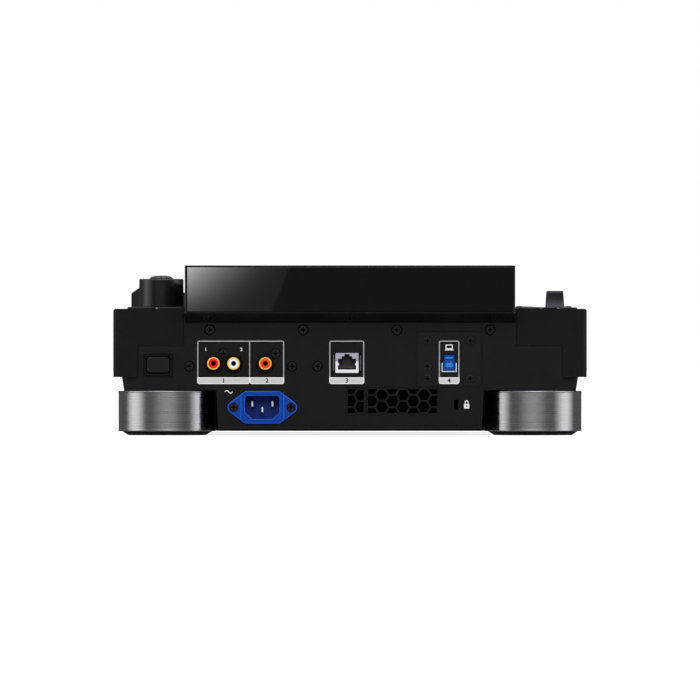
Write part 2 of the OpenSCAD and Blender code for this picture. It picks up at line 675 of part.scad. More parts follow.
// Flange of the mains inlet, drawn out to an ear round each screw
module inlet_flange_outline() hull() {
    square(inlet_flange, center = true);
    for (s = [-1, 1]) translate([s * inlet_screw_dx, 0]) circle(inlet_ear_r, $fn = 48);
}

module mains_inlet() color("#1646a0") on_rear(inlet_at) {
    difference() {
        union() {
            translate([0, 0, -inlet_ear_t]) linear_extrude(inlet_ear_t) inlet_flange_outline();
            // The middle of the flange stands higher than its ears
            translate([0, 0, -inlet_flange_t]) linear_extrude(inlet_flange_t) intersection() {
                inlet_flange_outline();
                square([inlet_block_w, inlet_flange[1]], center = true);
            }
            linear_extrude(inlet_depth) square(inlet_body, center = true);
        }
        translate([0, 0, -inlet_flange_t - 1]) linear_extrude(inlet_floor + inlet_flange_t + 1)
            inlet_outline();
        for (s = [-1, 1]) translate([s * inlet_screw_dx, 0, -inlet_flange_t - 1]) {
            cylinder(r = screw_r + 0.2, h = 9, $fn = 32);
            cylinder(r = small_recess_r, h = 1 + head_h + inlet_flange_t - inlet_ear_t, $fn = 48);
        }
    }
    // Line, neutral and earth pins
    for (p = [[-7, 2.3], [7, 2.3], [0, -1.6]]) translate([p[0], p[1], inlet_floor / 2 + 1.5])
        cube([2, 4, inlet_floor - 3], center = true);
}

// Socket with its two lower corners cut off and its upper corners rounded
module inlet_outline() {
    w = inlet_socket[0] / 2;
    h = inlet_socket[1] / 2;
    cut = 4.8;
    r = 2;
    mirrored([[w - cut, -h], [w, -h + cut], [w, h - r], [w - r, h]]);
    for (s = [-1, 1]) translate([s * (w - r), h - r]) circle(r, $fn = 32);
}

module phono_jacks() color("#17171a") {
    for (x = phono_xs) on_rear([x, phono_z]) {
        // Collar, threadless sleeve, insulator with the centre bore
        rotate_extrude() polygon([[1.55, -8.5], [2.95, -8.5], [2.95, -9], [4.1, -9], [4.3, -8.8],
            [4.3, -1], [6, -1], [phono_d / 2, -0.7], [phono_d / 2, sheet + 0.5], [1.55, sheet + 0.5]]);
    }
    difference() {
        for (b = [[73.8, 101.8], [45.8, 65.8]])
            translate([b[0], panel_in_y - 12, main_board_top]) cube([b[1] - b[0], 12, 17.4]);
        for (x = phono_xs) on_rear([x, phono_z]) cylinder(d = phono_d, h = sheet + 0.5);
        for (p = phono_screws) on_rear(p) cylinder(r = pilot_r, h = 11, $fn = 32);
    }
}

// Stepped opening: plug body, latch and latch tip
module network_steps() {
    body = network_opening[0];
    latch = network_opening[1];
    tip = network_opening[2];
    low = network_floor_z - network_size[1] / 2;
    mirrored([[body[0] / 2, low], [body[0] / 2, low + body[1]], [latch[0] / 2, low + body[1]],
        [latch[0] / 2, low + body[1] + latch[1]], [tip[0] / 2, low + body[1] + latch[1]],
        [tip[0] / 2, low + body[1] + latch[1] + tip[1]]]);
}

module network_jack() color("#b9bcc0") on_rear(network_at) {
    w = network_size[0] / 2;
    h = network_size[1] / 2;
    difference() {
        translate([-w, -h, -0.8]) cube([2 * w, 2 * h, 21.8]);
        translate([0, 0, -1]) linear_extrude(13) network_steps();
    }
    // Leaf springs beside the shell, which earth it to the panel
    for (s = [-1, 1]) {
        translate([s * (w + spring_gap + spring_t / 2), 0, 2])
            cube([spring_t, spring_h, 5.6], center = true);
        translate([s * (w + spring_gap / 2), 0, 4.5])
            cube([spring_gap + spring_t, spring_h, spring_t], center = true);
    }
}

// Two-step shell: the wide body below, slanted shoulders, the narrow high-speed part above
module usb_b_outline() mirrored([[5.35, -3.9], [5.35, 2.5], [3.55, 3.9], [3.55, 7.7]]);

module usb_b_port() color("#b9bcc0") {
    on_rear(usb_b_at) {
        difference() {
            translate([0, 0, 0.2]) linear_extrude(16) usb_b_outline();
            translate([0, 0, -1]) linear_extrude(11) offset(delta = -0.7) usb_b_outline();
        }
        translate([-2.55, -0.7, 0.8]) cube([5.1, 3.1, 9.5]);
        translate([-2.65, 5.2, 0.8]) cube([5.3, 1.3, 9.5]);
        // Foot on the main board
        translate([-5.3, main_board_top - usb_b_at[1], sheet + 1])
            cube([10.6, usb_b_at[1] - 3.9 - main_board_top, 14]);
    }
}

module usb_cover_plate() color("#202124") on_rear(cover_at) difference() {
    translate([0, 0, 0.15]) linear_extrude(cover_t - 0.15) difference() {
        square(cover_size, center = true);
        translate(usb_b_at - cover_at) offset(delta = 0.4) usb_b_outline();
        for (p = cover_screws) translate(p - cover_at) circle(screw_r + 0.2, $fn = 32);
    }
    translate([-cover_channel_w / 2, -cover_size[1], -1])
        cube([cover_channel_w, 2 * cover_size[1], 1.55]);
    for (p = cover_screws) translate([p[0] - cover_at[0], p[1] - cover_at[1], -1])
        cylinder(r = head_recess_r, h = 1.7, $fn = 48);
    // The two screws that stand close together share one recess
    close = (cover_screws[2] + cover_screws[3]) / 2 - cover_at;
    translate([close[0], close[1], -0.15]) cube([2 * head_recess_r,
        cover_screws[2][1] - cover_screws[3][1], 1.7], center = true);
}

module usb_a_port() color("#b9bcc0") translate([left_x, usb_y, 0]) {
    difference() {
        union() {
            translate([-7.2, -3.7, deck_z - 17]) cube([14.4, 7.4, 17.6]);
            translate([-9.5, -6, deck_low - 2]) cube([19, 12, 2]);
        }
        translate([-6.25, -2.55, deck_z - 13]) cube([12.5, 5.1, 14]);
    }
    translate([-5.6, -1.9, deck_z - 13]) cube([11.2, 1.9, 11.8]);
}

module card_reader() color("#2a2b2e") translate([left_x, door_y - 2, 0]) difference() {
    union() {
        translate([-16, -11, deck_low - 2]) cube([32, 26, 2]);
        translate([-15, -5, deck_low - 29]) cube([30, 10, 28]);
    }
    translate([-card_slot[0] / 2, -card_slot[1] / 2, deck_low - card_slot[2]])
        cube([card_slot[0], card_slot[1], card_slot[2] + 1]);
}

module fader_body() color("#8b8e93") translate([right_x, fader_y, 0]) difference() {
    translate([-fader_body_size[0] / 2, -fader_body_size[1] / 2, deck_low - fader_body_size[2]])
        cube(fader_body_size);
    translate([0, 0, deck_low - 9.5]) linear_extrude(10)
        square([fader_stem[0] + 0.8, fader_travel + fader_stem[1] + 0.8], center = true);
}

module encoders() color("#7d8085") {
    translate([selector_x, selector_y, 0]) difference() {
        union() {
            translate([-7.5, -7.5, key_board_top]) cube([15, 15, deck_low - seam - key_board_top]);
            translate([0, 0, key_board_top])
                cylinder(r = bushing_r, h = deck_z + bushing_rise - key_board_top);
        }
        translate([0, 0, key_board_top + 1]) cylinder(r = shaft_r + shaft_play, h = 40);
    }
    for (s = [-1, 1]) translate([selector_x + s * small_knob_dx, small_knob_y, key_board_top])
        difference() {
            union() {
                cylinder(r = 8, h = deck_low - seam - key_board_top);
                cylinder(r = bushing_r, h = deck_z + 1.5 - key_board_top);
            }
            translate([0, 0, 1]) cylinder(r = shaft_r + shaft_play, h = 40);
        }
}

module power_switch() color("#26272a") on_rear(power_at) difference() {
    union() {
        translate([0, 0, -1]) linear_extrude(1) chamfered(21.8, 16.7, 1);
        linear_extrude(16) square([18.8, 13.8], center = true);
    }
    translate([0, 0, -2]) linear_extrude(14) chamfered(15.4 + 0.7, 11 + 0.7, 2);
}

// Rectangle with its corners cut off
module chamfered(w, h, cut) mirrored([[w / 2 - cut, -h / 2], [w / 2, -h / 2 + cut],
    [w / 2, h / 2 - cut], [w / 2 - cut, h / 2]]);

module power_button() color("#2c2d31") on_rear(power_at) translate([0, 0, -2])
    linear_extrude(11) chamfered(15.4, 11, 2);

module screw(len = screw_len) {
    cylinder(r = head_r, h = head_h - 0.1, $fn = 48);
    cylinder(r = screw_r, h = len, $fn = 32);
}

module case_screws() color("#38393d") {
    for (p = concat(deck_screws, chassis_screws, phono_screws)) on_rear(p)
        translate([0, 0, 0.1]) screw();
    for (p = cover_screws) on_rear(p) translate([0, 0, 0.2]) cylinder(r = head_r, h = 0.5, $fn = 48);
    for (p = cover_screws) on_rear(p) translate([0, 0, 0.2]) cylinder(r = screw_r, h = 5, $fn = 32);
    for (s = [-1, 1]) on_rear(inlet_at + [s * inlet_screw_dx, 0])
        translate([0, 0, 0.1 - inlet_ear_t]) screw();
    for (x = under_screw_xs) on_underside(x) translate([0, 0, 0.1]) screw(5);
}

// Plunger of the push encoder; the knob turns on its upper end
module selector_plunger() color("#9a9da2") {
    low = key_board_top + push_travel + 1.2;
    translate([selector_x, selector_y, low])
        cylinder(r = shaft_r, h = deck_z + selector_rise - 5 - low);
}

// Smooth drum; the crown on its top is notched for the fingertip
module selector_knob() color("#121214") translate([selector_x, selector_y, 0]) difference() {
    top = deck_z + selector_rise;
    rotate_extrude() polygon([
        [0, deck_z + knob_float], [selector_d / 2 - 0.4, deck_z + knob_float],
        [selector_d / 2, deck_z + knob_float + 0.4], [selector_d / 2, top - 1.5],
        [selector_d / 2 - 1.5, top], [crown_r + 0.6, top], [crown_r, top + 0.4],
        [crown_r, top + crown_h - 0.7], [crown_r - 0.7, top + crown_h], [0, top + crown_h]]);
    translate([0, 0, deck_z]) cylinder(r = bushing_r + 0.4, h = bushing_rise + push_travel + 0.5);
    cylinder(r = shaft_r + shaft_play, h = top - 4.6);
    for (i = [0:crown_notches - 1]) rotate([0, 0, i * 360 / crown_notches])
        translate([crown_r + 0.3, 0, top + 0.4]) cylinder(r = 1, h = crown_h, $fn = 4);
}

module small_knob() {
    difference() {
        translate([0, 0, deck_z + 0.6]) rotate_extrude() polygon([
            [0, 0], [small_knob_d / 2, 0], [small_knob_d / 2, small_knob_rise - 1.8],
            [small_knob_d / 2 - 1.2, small_knob_rise - 0.6], [0, small_knob_rise - 0.6]]);
        translate([0, 0, deck_z]) cylinder(r = bushing_r + 0.3, h = 2.2);
        translate([-0.5, small_knob_d / 2 - 3, deck_z + small_knob_rise - 0.6]) cube([1, 4, 2]);
    }
    translate([0, 0, key_board_top + 1.3])
        cylinder(r = shaft_r, h = deck_z + 4 - key_board_top - 1.3);
}

module vinyl_speed_knob() color("#18181a")
    translate([selector_x - small_knob_dx, small_knob_y, 0]) small_knob();

module jog_adjust_knob() color("#18181a")
    translate([selector_x + small_knob_dx, small_knob_y, 0]) small_knob();

// Side view of the direction lever, hollowed a little on both faces for the fingers
module lever_side() difference() {
    hollow_r = 26;
    union() {
        translate([0, lever_pivot_z]) circle(lever_hub_r, $fn = 32);
        mirrored([[lever_hub_r - 0.3, lever_pivot_z], [lever_t / 2, deck_z - 1],
            [lever_t / 2, deck_z + 1.5], [lever_top_t / 2, deck_z + lever_rise - lever_edge],
            [lever_top_t / 2 - lever_edge, deck_z + lever_rise]]);
    }
    for (s = [-1, 1]) translate([s * (lever_t / 2 + hollow_r - 1.3), deck_z + 7.5])
        circle(hollow_r, $fn = 128);
}

// Rear view of the direction lever, drawn in towards its top
module lever_front() mirrored([[lever_w / 2, lever_pivot_z - lever_hub_r], [lever_w / 2, deck_z],
    [lever_top_w / 2, deck_z + lever_rise - lever_edge],
    [lever_top_w / 2 - lever_edge, deck_z + lever_rise]]);

// Rocking paddle on a cross pin
module direction_lever() color("#3c3d40") translate([lever_x, lever_y, 0]) {
    intersection() {
        rotate([90, 0, 90]) linear_extrude(lever_w, center = true) lever_side();
        rotate([90, 0, 0]) linear_extrude(2 * lever_t, center = true) lever_front();
    }
    for (s = [-1, 1]) translate([s * (lever_w / 2 + 1.2), 0, lever_pivot_z]) rotate([0, 90, 0])
        cylinder(r = lever_pin_r, h = 2.5, center = true, $fn = 32);
}

module fader_cap() color("#1e1f22") translate([right_x, fader_y, 0]) {
    difference() {
        translate([0, fader_cap_size[1] / 2, deck_z + 1]) rotate([90, 0, 0])
            linear_extrude(fader_cap_size[1]) mirrored([[fader_cap_size[0] / 2, 0],
                [fader_cap_size[0] / 2, fader_cap_rise - 5], [fader_cap_size[0] / 2 - 5.5,
                fader_cap_rise - 1]]);
        // Finger hollow across the top
        translate([0, 0, deck_z + fader_cap_rise + 9.4]) rotate([0, 90, 0])
            cylinder(r = 11, h = fader_cap_size[0] + 2, center = true);
    }
    translate([-fader_stem[0] / 2, -fader_stem[1] / 2, deck_low - 8.5])
        cube([fader_stem[0], fader_stem[1], deck_z + 1.5 - deck_low + 8.5]);
}

module card_door() color("#222326") {
    translate([left_x - door_size[0] / 2, door_y - door_size[1] / 2, deck_z - door_t])
        cube([door_size[0], door_size[1] - door_barrel_r, door_t]);
    translate([left_x - door_size[0] / 2, door_axis_y, door_axis_z]) rotate([0, 90, 0])
        cylinder(r = door_barrel_r, h = door_size[0], $fn = 48);
    translate([left_x - door_size[0] / 2 - 1.6, door_axis_y, door_axis_z]) rotate([0, 90, 0])
        cylinder(r = door_pin_r, h = door_size[0] + 3.2, $fn = 32);
    // Finger lip on the front edge
    translate([left_x - 5, door_y - door_size[1] / 2, deck_z]) cube([10, 1.6, 0.8]);
}

// Moulded key: cap through the deck, collar under it, nub over the switch
module key(at, size) translate([at[0], at[1], 0]) {
    translate([0, 0, deck_low - collar_gap]) linear_extrude(case_wall + collar_gap + key_rise)
        key_outline(size);
    translate([0, 0, deck_low - collar_gap - collar_t]) linear_extrude(collar_t)
        key_outline(size, collar_lip);
    translate([0, 0, key_low_z]) cylinder(r = 1.5, h = nub_len + collar_t / 2, $fn = 24);
}

// Round transport key with a raised metal ring
module round_key(y) translate([left_x, y, 0]) rotate_extrude() polygon([
    [0, key_low_z], [1.5, key_low_z], [1.5, deck_low - collar_gap - collar_t],
    [transport_d / 2 + collar_lip, deck_low - collar_gap - collar_t],
    [transport_d / 2 + collar_lip, deck_low - collar_gap],
    [transport_d / 2, deck_low - collar_gap], [transport_d / 2, deck_z + 2.4],
    [transport_d / 2 - 0.6, deck_z + 3], [transport_d / 2 - 2.4, deck_z + 3],
    [transport_d / 2 - 3, deck_z + 2.4], [transport_d / 2 - 4, deck_z + 2.2], [0, deck_z + 2.2]]);

module play_key() color("#202124") round_key(play_y);
module cue_key() color("#202124") round_key(cue_y);
module hot_cue(i) color("#3a3b3f") key(pad_at(i), pad_size);
module loop_in_key() color("#2c2d30") key(loop_in_at, loop_key_size);
module loop_out_key() color("#2c2d30") key(loop_out_at, loop_key_size);
module reloop_key() color("#2c2d30") key(reloop_at, loop_key_size);
module call_key() color("#2c2d30") key(call_at, loop_key_size);
module beat_loop_keys() color("#2c2d30") for (p = beat_loop_at) key(p, loop_key_size);
module beat_jump_keys() color("#2c2d30") for (p = beat_jump_at) key(p, loop_key_size);
module track_search_keys() color("#2c2d30") for (p = track_at) key(p, small_key_size);
module search_keys() color("#2c2d30") for (p = search_at) key(p, small_key_size);
module mode_keys() color("#2c2d30") for (p = mode_at) key(p, small_key_size);
module usb_stop_key() color("#2c2d30") key(usb_stop_at, small_key_size);
module browse_keys() color("#2c2d30") for (p = browse_at) key(p, small_key_size);
module jog_mode_key() color("#2c2d30") key(jog_mode_at, small_key_size);
module sync_keys() color("#2c2d30") for (p = sync_at) key(p, small_key_size);
module tempo_keys() color("#2c2d30") for (p = tempo_at) key(p, small_key_size);

module screen_keys() color("#1c1c1f") for (i = [0:5]) on_face(screen_key_s)
    translate([(i - 2.5) * screen_key_pitch, 0, -screen_wall - 1.2]) {
        linear_extrude(screen_wall + 1.2 + screen_key_rise) key_outline(screen_key_size);
    }

upper_case();
bottom_chassis();
rear_panel();
screen_housing();
screen_glass();
screen_module();
screen_back_glass();
foot_rings();
foot_pads();
jog_base();
jog_display();
main_board();
key_board();
power_supply();
mains_inlet();
phono_jacks();
network_jack();
usb_b_port();
usb_cover_plate();
usb_a_port();
card_reader();
fader_body();
encoders();
power_switch();
case_screws();
jog_platter();
jog_top_plate();
selector_plunger();
selector_knob();
vinyl_speed_knob();
jog_adjust_knob();
direction_lever();
fader_cap();
card_door();
power_button();
play_key();
cue_key();
for (i = [1:8]) hot_cue(i);
loop_in_key();
loop_out_key();
reloop_key();
beat_loop_keys();
beat_jump_keys();
call_key();
track_search_keys();
search_keys();
screen_keys();
mode_keys();
usb_stop_key();
browse_keys();
jog_mode_key();
sync_keys();
tempo_keys();
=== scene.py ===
"""Looks of a tabletop DJ media player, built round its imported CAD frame."""
import json
from math import acos, atan2, cos, hypot, pi, radians, sin, sqrt, tau

import bmesh
import bpy
from mathutils import Matrix, Vector


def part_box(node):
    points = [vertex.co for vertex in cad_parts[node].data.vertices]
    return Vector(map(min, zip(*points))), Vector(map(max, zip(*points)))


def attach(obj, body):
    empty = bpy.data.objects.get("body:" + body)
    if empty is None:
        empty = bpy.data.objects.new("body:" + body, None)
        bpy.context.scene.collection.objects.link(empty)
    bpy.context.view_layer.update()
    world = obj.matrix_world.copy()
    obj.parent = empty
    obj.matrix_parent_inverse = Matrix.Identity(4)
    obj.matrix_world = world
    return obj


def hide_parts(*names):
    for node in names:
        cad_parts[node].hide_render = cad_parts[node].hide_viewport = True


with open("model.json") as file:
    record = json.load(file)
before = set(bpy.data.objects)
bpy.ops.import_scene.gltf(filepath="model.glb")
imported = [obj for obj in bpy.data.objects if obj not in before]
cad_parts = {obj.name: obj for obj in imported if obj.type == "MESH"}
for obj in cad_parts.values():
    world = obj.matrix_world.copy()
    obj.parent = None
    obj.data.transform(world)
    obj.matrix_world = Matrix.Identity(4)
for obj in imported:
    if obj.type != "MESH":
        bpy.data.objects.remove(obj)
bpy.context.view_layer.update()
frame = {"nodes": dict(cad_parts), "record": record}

MM = 0.001
NODES = frame["nodes"]
CASE = "case"
MOUNTS = {mount["name"]: Vector(mount["pos_m"]) / MM for mount in frame["record"]["mounts"]}


# ---------------------------------------------------------------- material helpers

def srgb(hex_text):
    """Linear colour of an sRGB hex value."""
    parts = [int(hex_text[i:i + 2], 16) / 255 for i in (1, 3, 5)]
    linear = [v / 12.92 if v <= 0.04045 else ((v + 0.055) / 1.055) ** 2.4 for v in parts]
    return (*linear, 1.0)


def add(tree, kind, inputs=None, **settings):
    """Adds a node with its settings; an input given as a socket is linked, any other is set."""
    node = tree.nodes.new(kind)
    for name, value in settings.items():
        setattr(node, name, value)
    for name, value in (inputs or {}).items():
        if isinstance(value, bpy.types.NodeSocket):
            tree.links.new(value, node.inputs[name])
        else:
            node.inputs[name].default_value = value
    return node


def surface(name, **constants):
    """New material with one Principled shader; its constants stay on the shader's own sockets."""
    material = bpy.data.materials.new(name)
    material.use_nodes = True
    shader = material.node_tree.nodes["Principled BSDF"]
    for key, value in constants.items():
        shader.inputs[key.replace("_", " ")].default_value = value
    return material, material.node_tree, shader


def grain(tree, size_mm, detail=2.0, stretch=(1, 1, 1), kind="Object"):
    """Noise whose grains are about size_mm wide; stretch is in grains along each axis."""
    place = add(tree, "ShaderNodeTexCoord")
    scale = [1 / (size_mm * MM * s) for s in stretch]
    mapping = add(tree, "ShaderNodeMapping", {"Vector": place.outputs[kind], "Scale": scale})
    noise = add(tree, "ShaderNodeTexNoise",
                {"Vector": mapping.outputs["Vector"], "Scale": 1.0, "Detail": detail})
    return noise.outputs["Fac"]


def relief(tree, shader, height, depth_mm):
    """Bump of a given depth on the shader."""
    bump = add(tree, "ShaderNodeBump",
               {"Height": height, "Distance": depth_mm * MM, "Strength": 1.0})
    tree.links.new(bump.outputs["Normal"], shader.inputs["Normal"])


def vary(tree, shader, factor, low, high):
    """Drives the shader's roughness between two values."""
    spread = add(tree, "ShaderNodeMapRange",
                 {"Value": factor, "From Min": 0.3, "From Max": 0.7, "To Min": low,
                  "To Max": high})
    tree.links.new(spread.outputs["Result"], shader.inputs["Roughness"])


def tint(tree, shader, factor, first, second):
    """Base colour that wanders between two hex colours."""
    mix = add(tree, "ShaderNodeMix", {0: factor, 6: srgb(first), 7: srgb(second)},
              data_type="RGBA")
    tree.links.new(mix.outputs[2], shader.inputs["Base Color"])


def grained(name, shades, grain_mm, rough, depth_mm=0.0, detail=2.0, cloud_mm=None, **constants):
    """Surface whose one grain varies its roughness and relief, in one shade or two that wander."""
    if len(shades) == 1:
        constants["Base_Color"] = srgb(*shades)
    material, tree, shader = surface(name, **constants)
    fine = grain(tree, grain_mm, detail)
    if len(shades) == 2:
        tint(tree, shader, grain(tree, cloud_mm) if cloud_mm else fine, *shades)
    vary(tree, shader, fine, *rough)
    if depth_mm:
        relief(tree, shader, fine, depth_mm)
    return material


# ---------------------------------------------------------------- finishes

def moulded_abs(name, dark, light, rough=0.5, grain_mm=0.7, depth_mm=0.02, gloss=0.3):
    """Injection-moulded ABS: its spark-eroded grain breaks up and dims the highlight."""
    return grained(name, (dark, light), grain_mm, (rough - 0.05, rough + 0.07), depth_mm,
                   cloud_mm=9, IOR=1.54, Specular_IOR_Level=gloss)


def powder_coat(name, dark, light):
    """Powder-coated steel sheet: fine orange peel with a low sheen."""
    return grained(name, (dark, light), 1.1, (0.45, 0.58), 0.03, detail=3, cloud_mm=14,
                   IOR=1.5, Specular_IOR_Level=0.17)


def turned_aluminium(name, colour, rough=0.3):
    """Turned and clear-anodised aluminium: fine grooves round the ring smear the light upright."""
    material, tree, shader = surface(name, Base_Color=srgb(colour), Metallic=1.0,
                                     Anisotropic=0.85, Anisotropic_Rotation=0.25)
    # The real tool marks are 0.1 mm apart; at 0.9 mm they still show
    grooves = grain(tree, 0.9, detail=4, stretch=(400, 1, 1), kind="UV")
    vary(tree, shader, grooves, rough - 0.05, rough + 0.05)
    relief(tree, shader, grooves, 0.002)
    tangent = add(tree, "ShaderNodeTangent", direction_type="UV_MAP")
    tree.links.new(tangent.outputs["Tangent"], shader.inputs["Tangent"])
    return material


def plated(name, colour, rough=0.22):
    """Bright electroplate over a stamped part: mirror-like with faint handling marks."""
    return grained(name, (colour,), 2.5, (rough - 0.06, rough + 0.08), 0.004, detail=5,
                   Metallic=1.0)


def tinned(name, dark, light="#ffffff"):
    """Dull tin plate: a grey-white metal that scatters most of its light."""
    return grained(name, (dark, light), 1.5, (0.4, 0.52), detail=4, Metallic=0.3)


def blasted_metal(name, colour, rough=0.4):
    """Bead-blasted and dark anodised aluminium: a fine sparkle and a soft metal highlight."""
    return grained(name, (colour,), 0.5, (rough - 0.06, rough + 0.06), 0.01, Metallic=0.9)


def smooth_plastic(name, dark, light, rough=0.3, gloss=0.5):
    """Polished-tool moulding, such as PBT or ABS: clear highlights with a slight waviness."""
    return grained(name, (dark, light), 4, (rough - 0.04, rough + 0.05), 0.01,
                   IOR=1.53, Specular_IOR_Level=gloss)


def moulded_rubber(name, dark, light):
    """Moulded rubber: matt and slightly dusty."""
    material, tree, shader = surface(name, IOR=1.5, Specular_IOR_Level=0.3)
    bloom = grain(tree, 3, detail=5)
    tint(tree, shader, bloom, dark, light)
    vary(tree, shader, bloom, 0.68, 0.85)
    relief(tree, shader, grain(tree, 0.8), 0.03)
    return material


def back_painted_glass(name, colour):
    """Glass painted black behind: deep black with a clear mirror image on its face."""
    material, tree, shader = surface(name, Base_Color=srgb(colour), IOR=1.52)
    vary(tree, shader, grain(tree, 30, detail=4, stretch=(4, 1, 1)), 0.008, 0.014)
    return material


def printed_ink(name, dark, light):
    """Screen-printed ink: matt, with the screen's weave faintly in it."""
    return grained(name, (dark, light), 0.6, (0.55, 0.7), IOR=1.5, Specular_IOR_Level=0.06)


def circuit_board(name):
    """Glass-fibre board under green solder mask: copper tracks show through as darker lines."""
    material, tree, shader = surface(name, IOR=1.5)
    place = add(tree, "ShaderNodeTexCoord")
    mapping = add(tree, "ShaderNodeMapping",
                  {"Vector": place.outputs["Object"], "Scale": (170, 170, 170)})
    tracks = add(tree, "ShaderNodeTexBrick",
                 {"Vector": mapping.outputs["Vector"], "Scale": 1.0, "Mortar Size": 0.06,
                  "Color1": srgb("#1b5a36"), "Color2": srgb("#1f6a40"), "Mortar": srgb("#123f28")})
    tree.links.new(tracks.outputs["Color"], shader.inputs["Base Color"])
    vary(tree, shader, tracks.outputs["Fac"], 0.35, 0.5)
    return material


case_abs = moulded_abs("moulded_abs_case", "#101012", "#131315", gloss=0.16)
screen_abs = moulded_abs("moulded_abs_screen", "#111113", "#141416", rough=0.42)
panel_steel = powder_coat("powder_coated_steel", "#151517", "#181819")
# The cover plate wears the panel's powder coat a shade lighter: painted light
cover_steel = powder_coat("powder_coated_cover_painted_light", "#18181a", "#1b1b1d")
foot_aluminium = turned_aluminium("turned_aluminium", "#b9bbbd")
foot_rubber = moulded_rubber("moulded_rubber", "#0e0e0f", "#151517")
# Near-black strips at the chassis foot: painted shadow
shadow_strip_black = powder_coat("painted_shadow_strip", "#060606", "#0a0a0a")
black_glass = back_painted_glass("back_painted_glass", "#08080a")
touch_glass = back_painted_glass("touch_screen_glass", "#0a0b0e")
dark_display = back_painted_glass("dark_display_panel", "#111319")
platter_abs = moulded_abs("moulded_abs_platter", "#1c1d1f", "#212224", rough=0.38, gloss=0.5)
spun_plate = turned_aluminium("spun_dark_aluminium", "#4a4b4e", rough=0.28)
board_fr4 = circuit_board("solder_masked_board")
inlet_pbt = smooth_plastic("moulded_pbt_blue", "#043e99", "#0642a0", rough=0.4, gloss=0.1)
inlet_wing = smooth_plastic("matt_pbt_blue", "#183c92", "#1b3f9a", rough=0.5, gloss=0.1)
# Brighter copy of the inlet's blue for its eased rims: painted highlight
inlet_edge_highlight = smooth_plastic("pbt_painted_edge_highlight", "#0a58dc", "#0e5ee4", rough=0.3)
# Darker copy of the inlet's blue for its well: painted shade
inlet_well_shade = smooth_plastic("pbt_blue_painted_shade", "#22357f", "#253883", rough=0.5, gloss=0.1)
jack_abs = smooth_plastic("moulded_jack_plastic", "#080809", "#0b0b0c", gloss=0.15)
socket_abs = smooth_plastic("moulded_socket_plastic", "#3e3e40", "#444446", rough=0.5, gloss=0.2)
nickel = plated("nickel_plate", "#c9c8c4")
shell_tin = tinned("tinned_steel", "#f4f4f8")
# Darker copy of the tin for the upper part of the network jack's shell: painted shade
shell_painted_shade = tinned("tinned_steel_painted_shade", "#b0acc0", "#bcb8cc")
spring_steel = tinned("dull_spring_steel", "#6c6c70", "#78787c")
gold = tinned("gold_plate", "#ffc84c", "#ffd460")
# Darker copy of the gold for contacts deep in the sockets: painted shade
shaded_gold = tinned("gold_plate_painted_shade", "#8a6a1e", "#967426")
screw_steel = tinned("black_oxide_steel", "#19191b", "#1f1f21")
# Near-black paint for the shade round screws and in their recesses: painted shade
painted_shade_black = printed_ink("black_painted_shade", "#050505", "#080808")
zinc = plated("zinc_plated_steel", "#a9abad", rough=0.3)
red_abs = smooth_plastic("red_socket_plastic", "#ea0412", "#f00816", rough=0.4, gloss=0.2)
white_abs = smooth_plastic("white_socket_plastic", "#f0f0fa", "#f6f6fe", rough=0.4, gloss=0.2)
orange_abs = smooth_plastic("orange_socket_plastic", "#f03c04", "#f84808", rough=0.4, gloss=0.2)
blue_abs = smooth_plastic("blue_socket_plastic", "#0a469c", "#0e4ca8", rough=0.4, gloss=0.2)
tongue_abs = smooth_plastic("bright_blue_tongue_plastic", "#0a80f0", "#1488f8", rough=0.4,
                            gloss=0.2)
knob_abs = moulded_abs("moulded_abs_knob", "#0c0c0e", "#101012", rough=0.34, depth_mm=0.006,
                       gloss=0.5)
fader_abs = moulded_abs("moulded_abs_fader_cap", "#19191b", "#1e1e20", rough=0.4,
                        grain_mm=0.5)
lever_aluminium = blasted_metal("blasted_dark_aluminium", "#4b4c50")
key_abs = moulded_abs("moulded_abs_key", "#1b1c1e", "#212224", rough=0.45, grain_mm=0.5)
pad_silicone = moulded_rubber("silicone_pad", "#34353a", "#3c3d42")
button_abs = moulded_abs("moulded_abs_button", "#18181a", "#1d1d1f", rough=0.4, gloss=0.17)
bezel_abs = moulded_abs("moulded_abs_bezel", "#090909", "#0c0c0c", rough=0.4, gloss=0.12)
ring_metal = turned_aluminium("turned_key_ring", "#c4c4c2", rough=0.25)
line_ink = printed_ink("grey_white_ink", "#98989a", "#a2a2a4")
label_ink = printed_ink("pale_label_ink", "#c8c8c8", "#d0d0d0")
edge_ink = printed_ink("white_ink", "#e6e6e6", "#f0f0f0")
# Black ink for the numerals on the label strips, and for the painted shade band inside each label
# frame
black_ink_and_painted_shade = printed_ink("black_ink_and_painted_shade", "#040404", "#080808")

NODE_FINISHES = [
    (case_abs, ["upper_case", "jog_base", "card_door"]),
    (screen_abs, ["screen_housing"]),
    (panel_steel, ["rear_panel", "bottom_chassis"]),
    (cover_steel, ["usb_cover_plate"]),
    (foot_rubber, ["foot_pads"]),
    (platter_abs, ["jog_platter"]),
    (board_fr4, ["main_board", "key_board", "power_supply"]),
    (jack_abs, ["card_reader"]),
    (nickel, ["usb_a_port"]),
    (zinc, ["fader_body", "encoders", "selector_plunger", "screen_module"]),
]
for finish, names in NODE_FINISHES:
    for name in names:
        NODES[name].data.materials.clear()
        NODES[name].data.materials.append(finish)


# ---------------------------------------------------------------- modelling helpers
# Pieces are modelled in millimetres, part by part, and new_piece brings them to metres

def corners(node):
    """Lowest and highest corner of a CAD node, in millimetres."""
    return [Vector(corner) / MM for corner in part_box(node)]


def span(points):
    """Lowest and highest corner of some points."""
    return [Vector([pick(p[axis] for p in points) for axis in range(3)]) for pick in (min, max)]


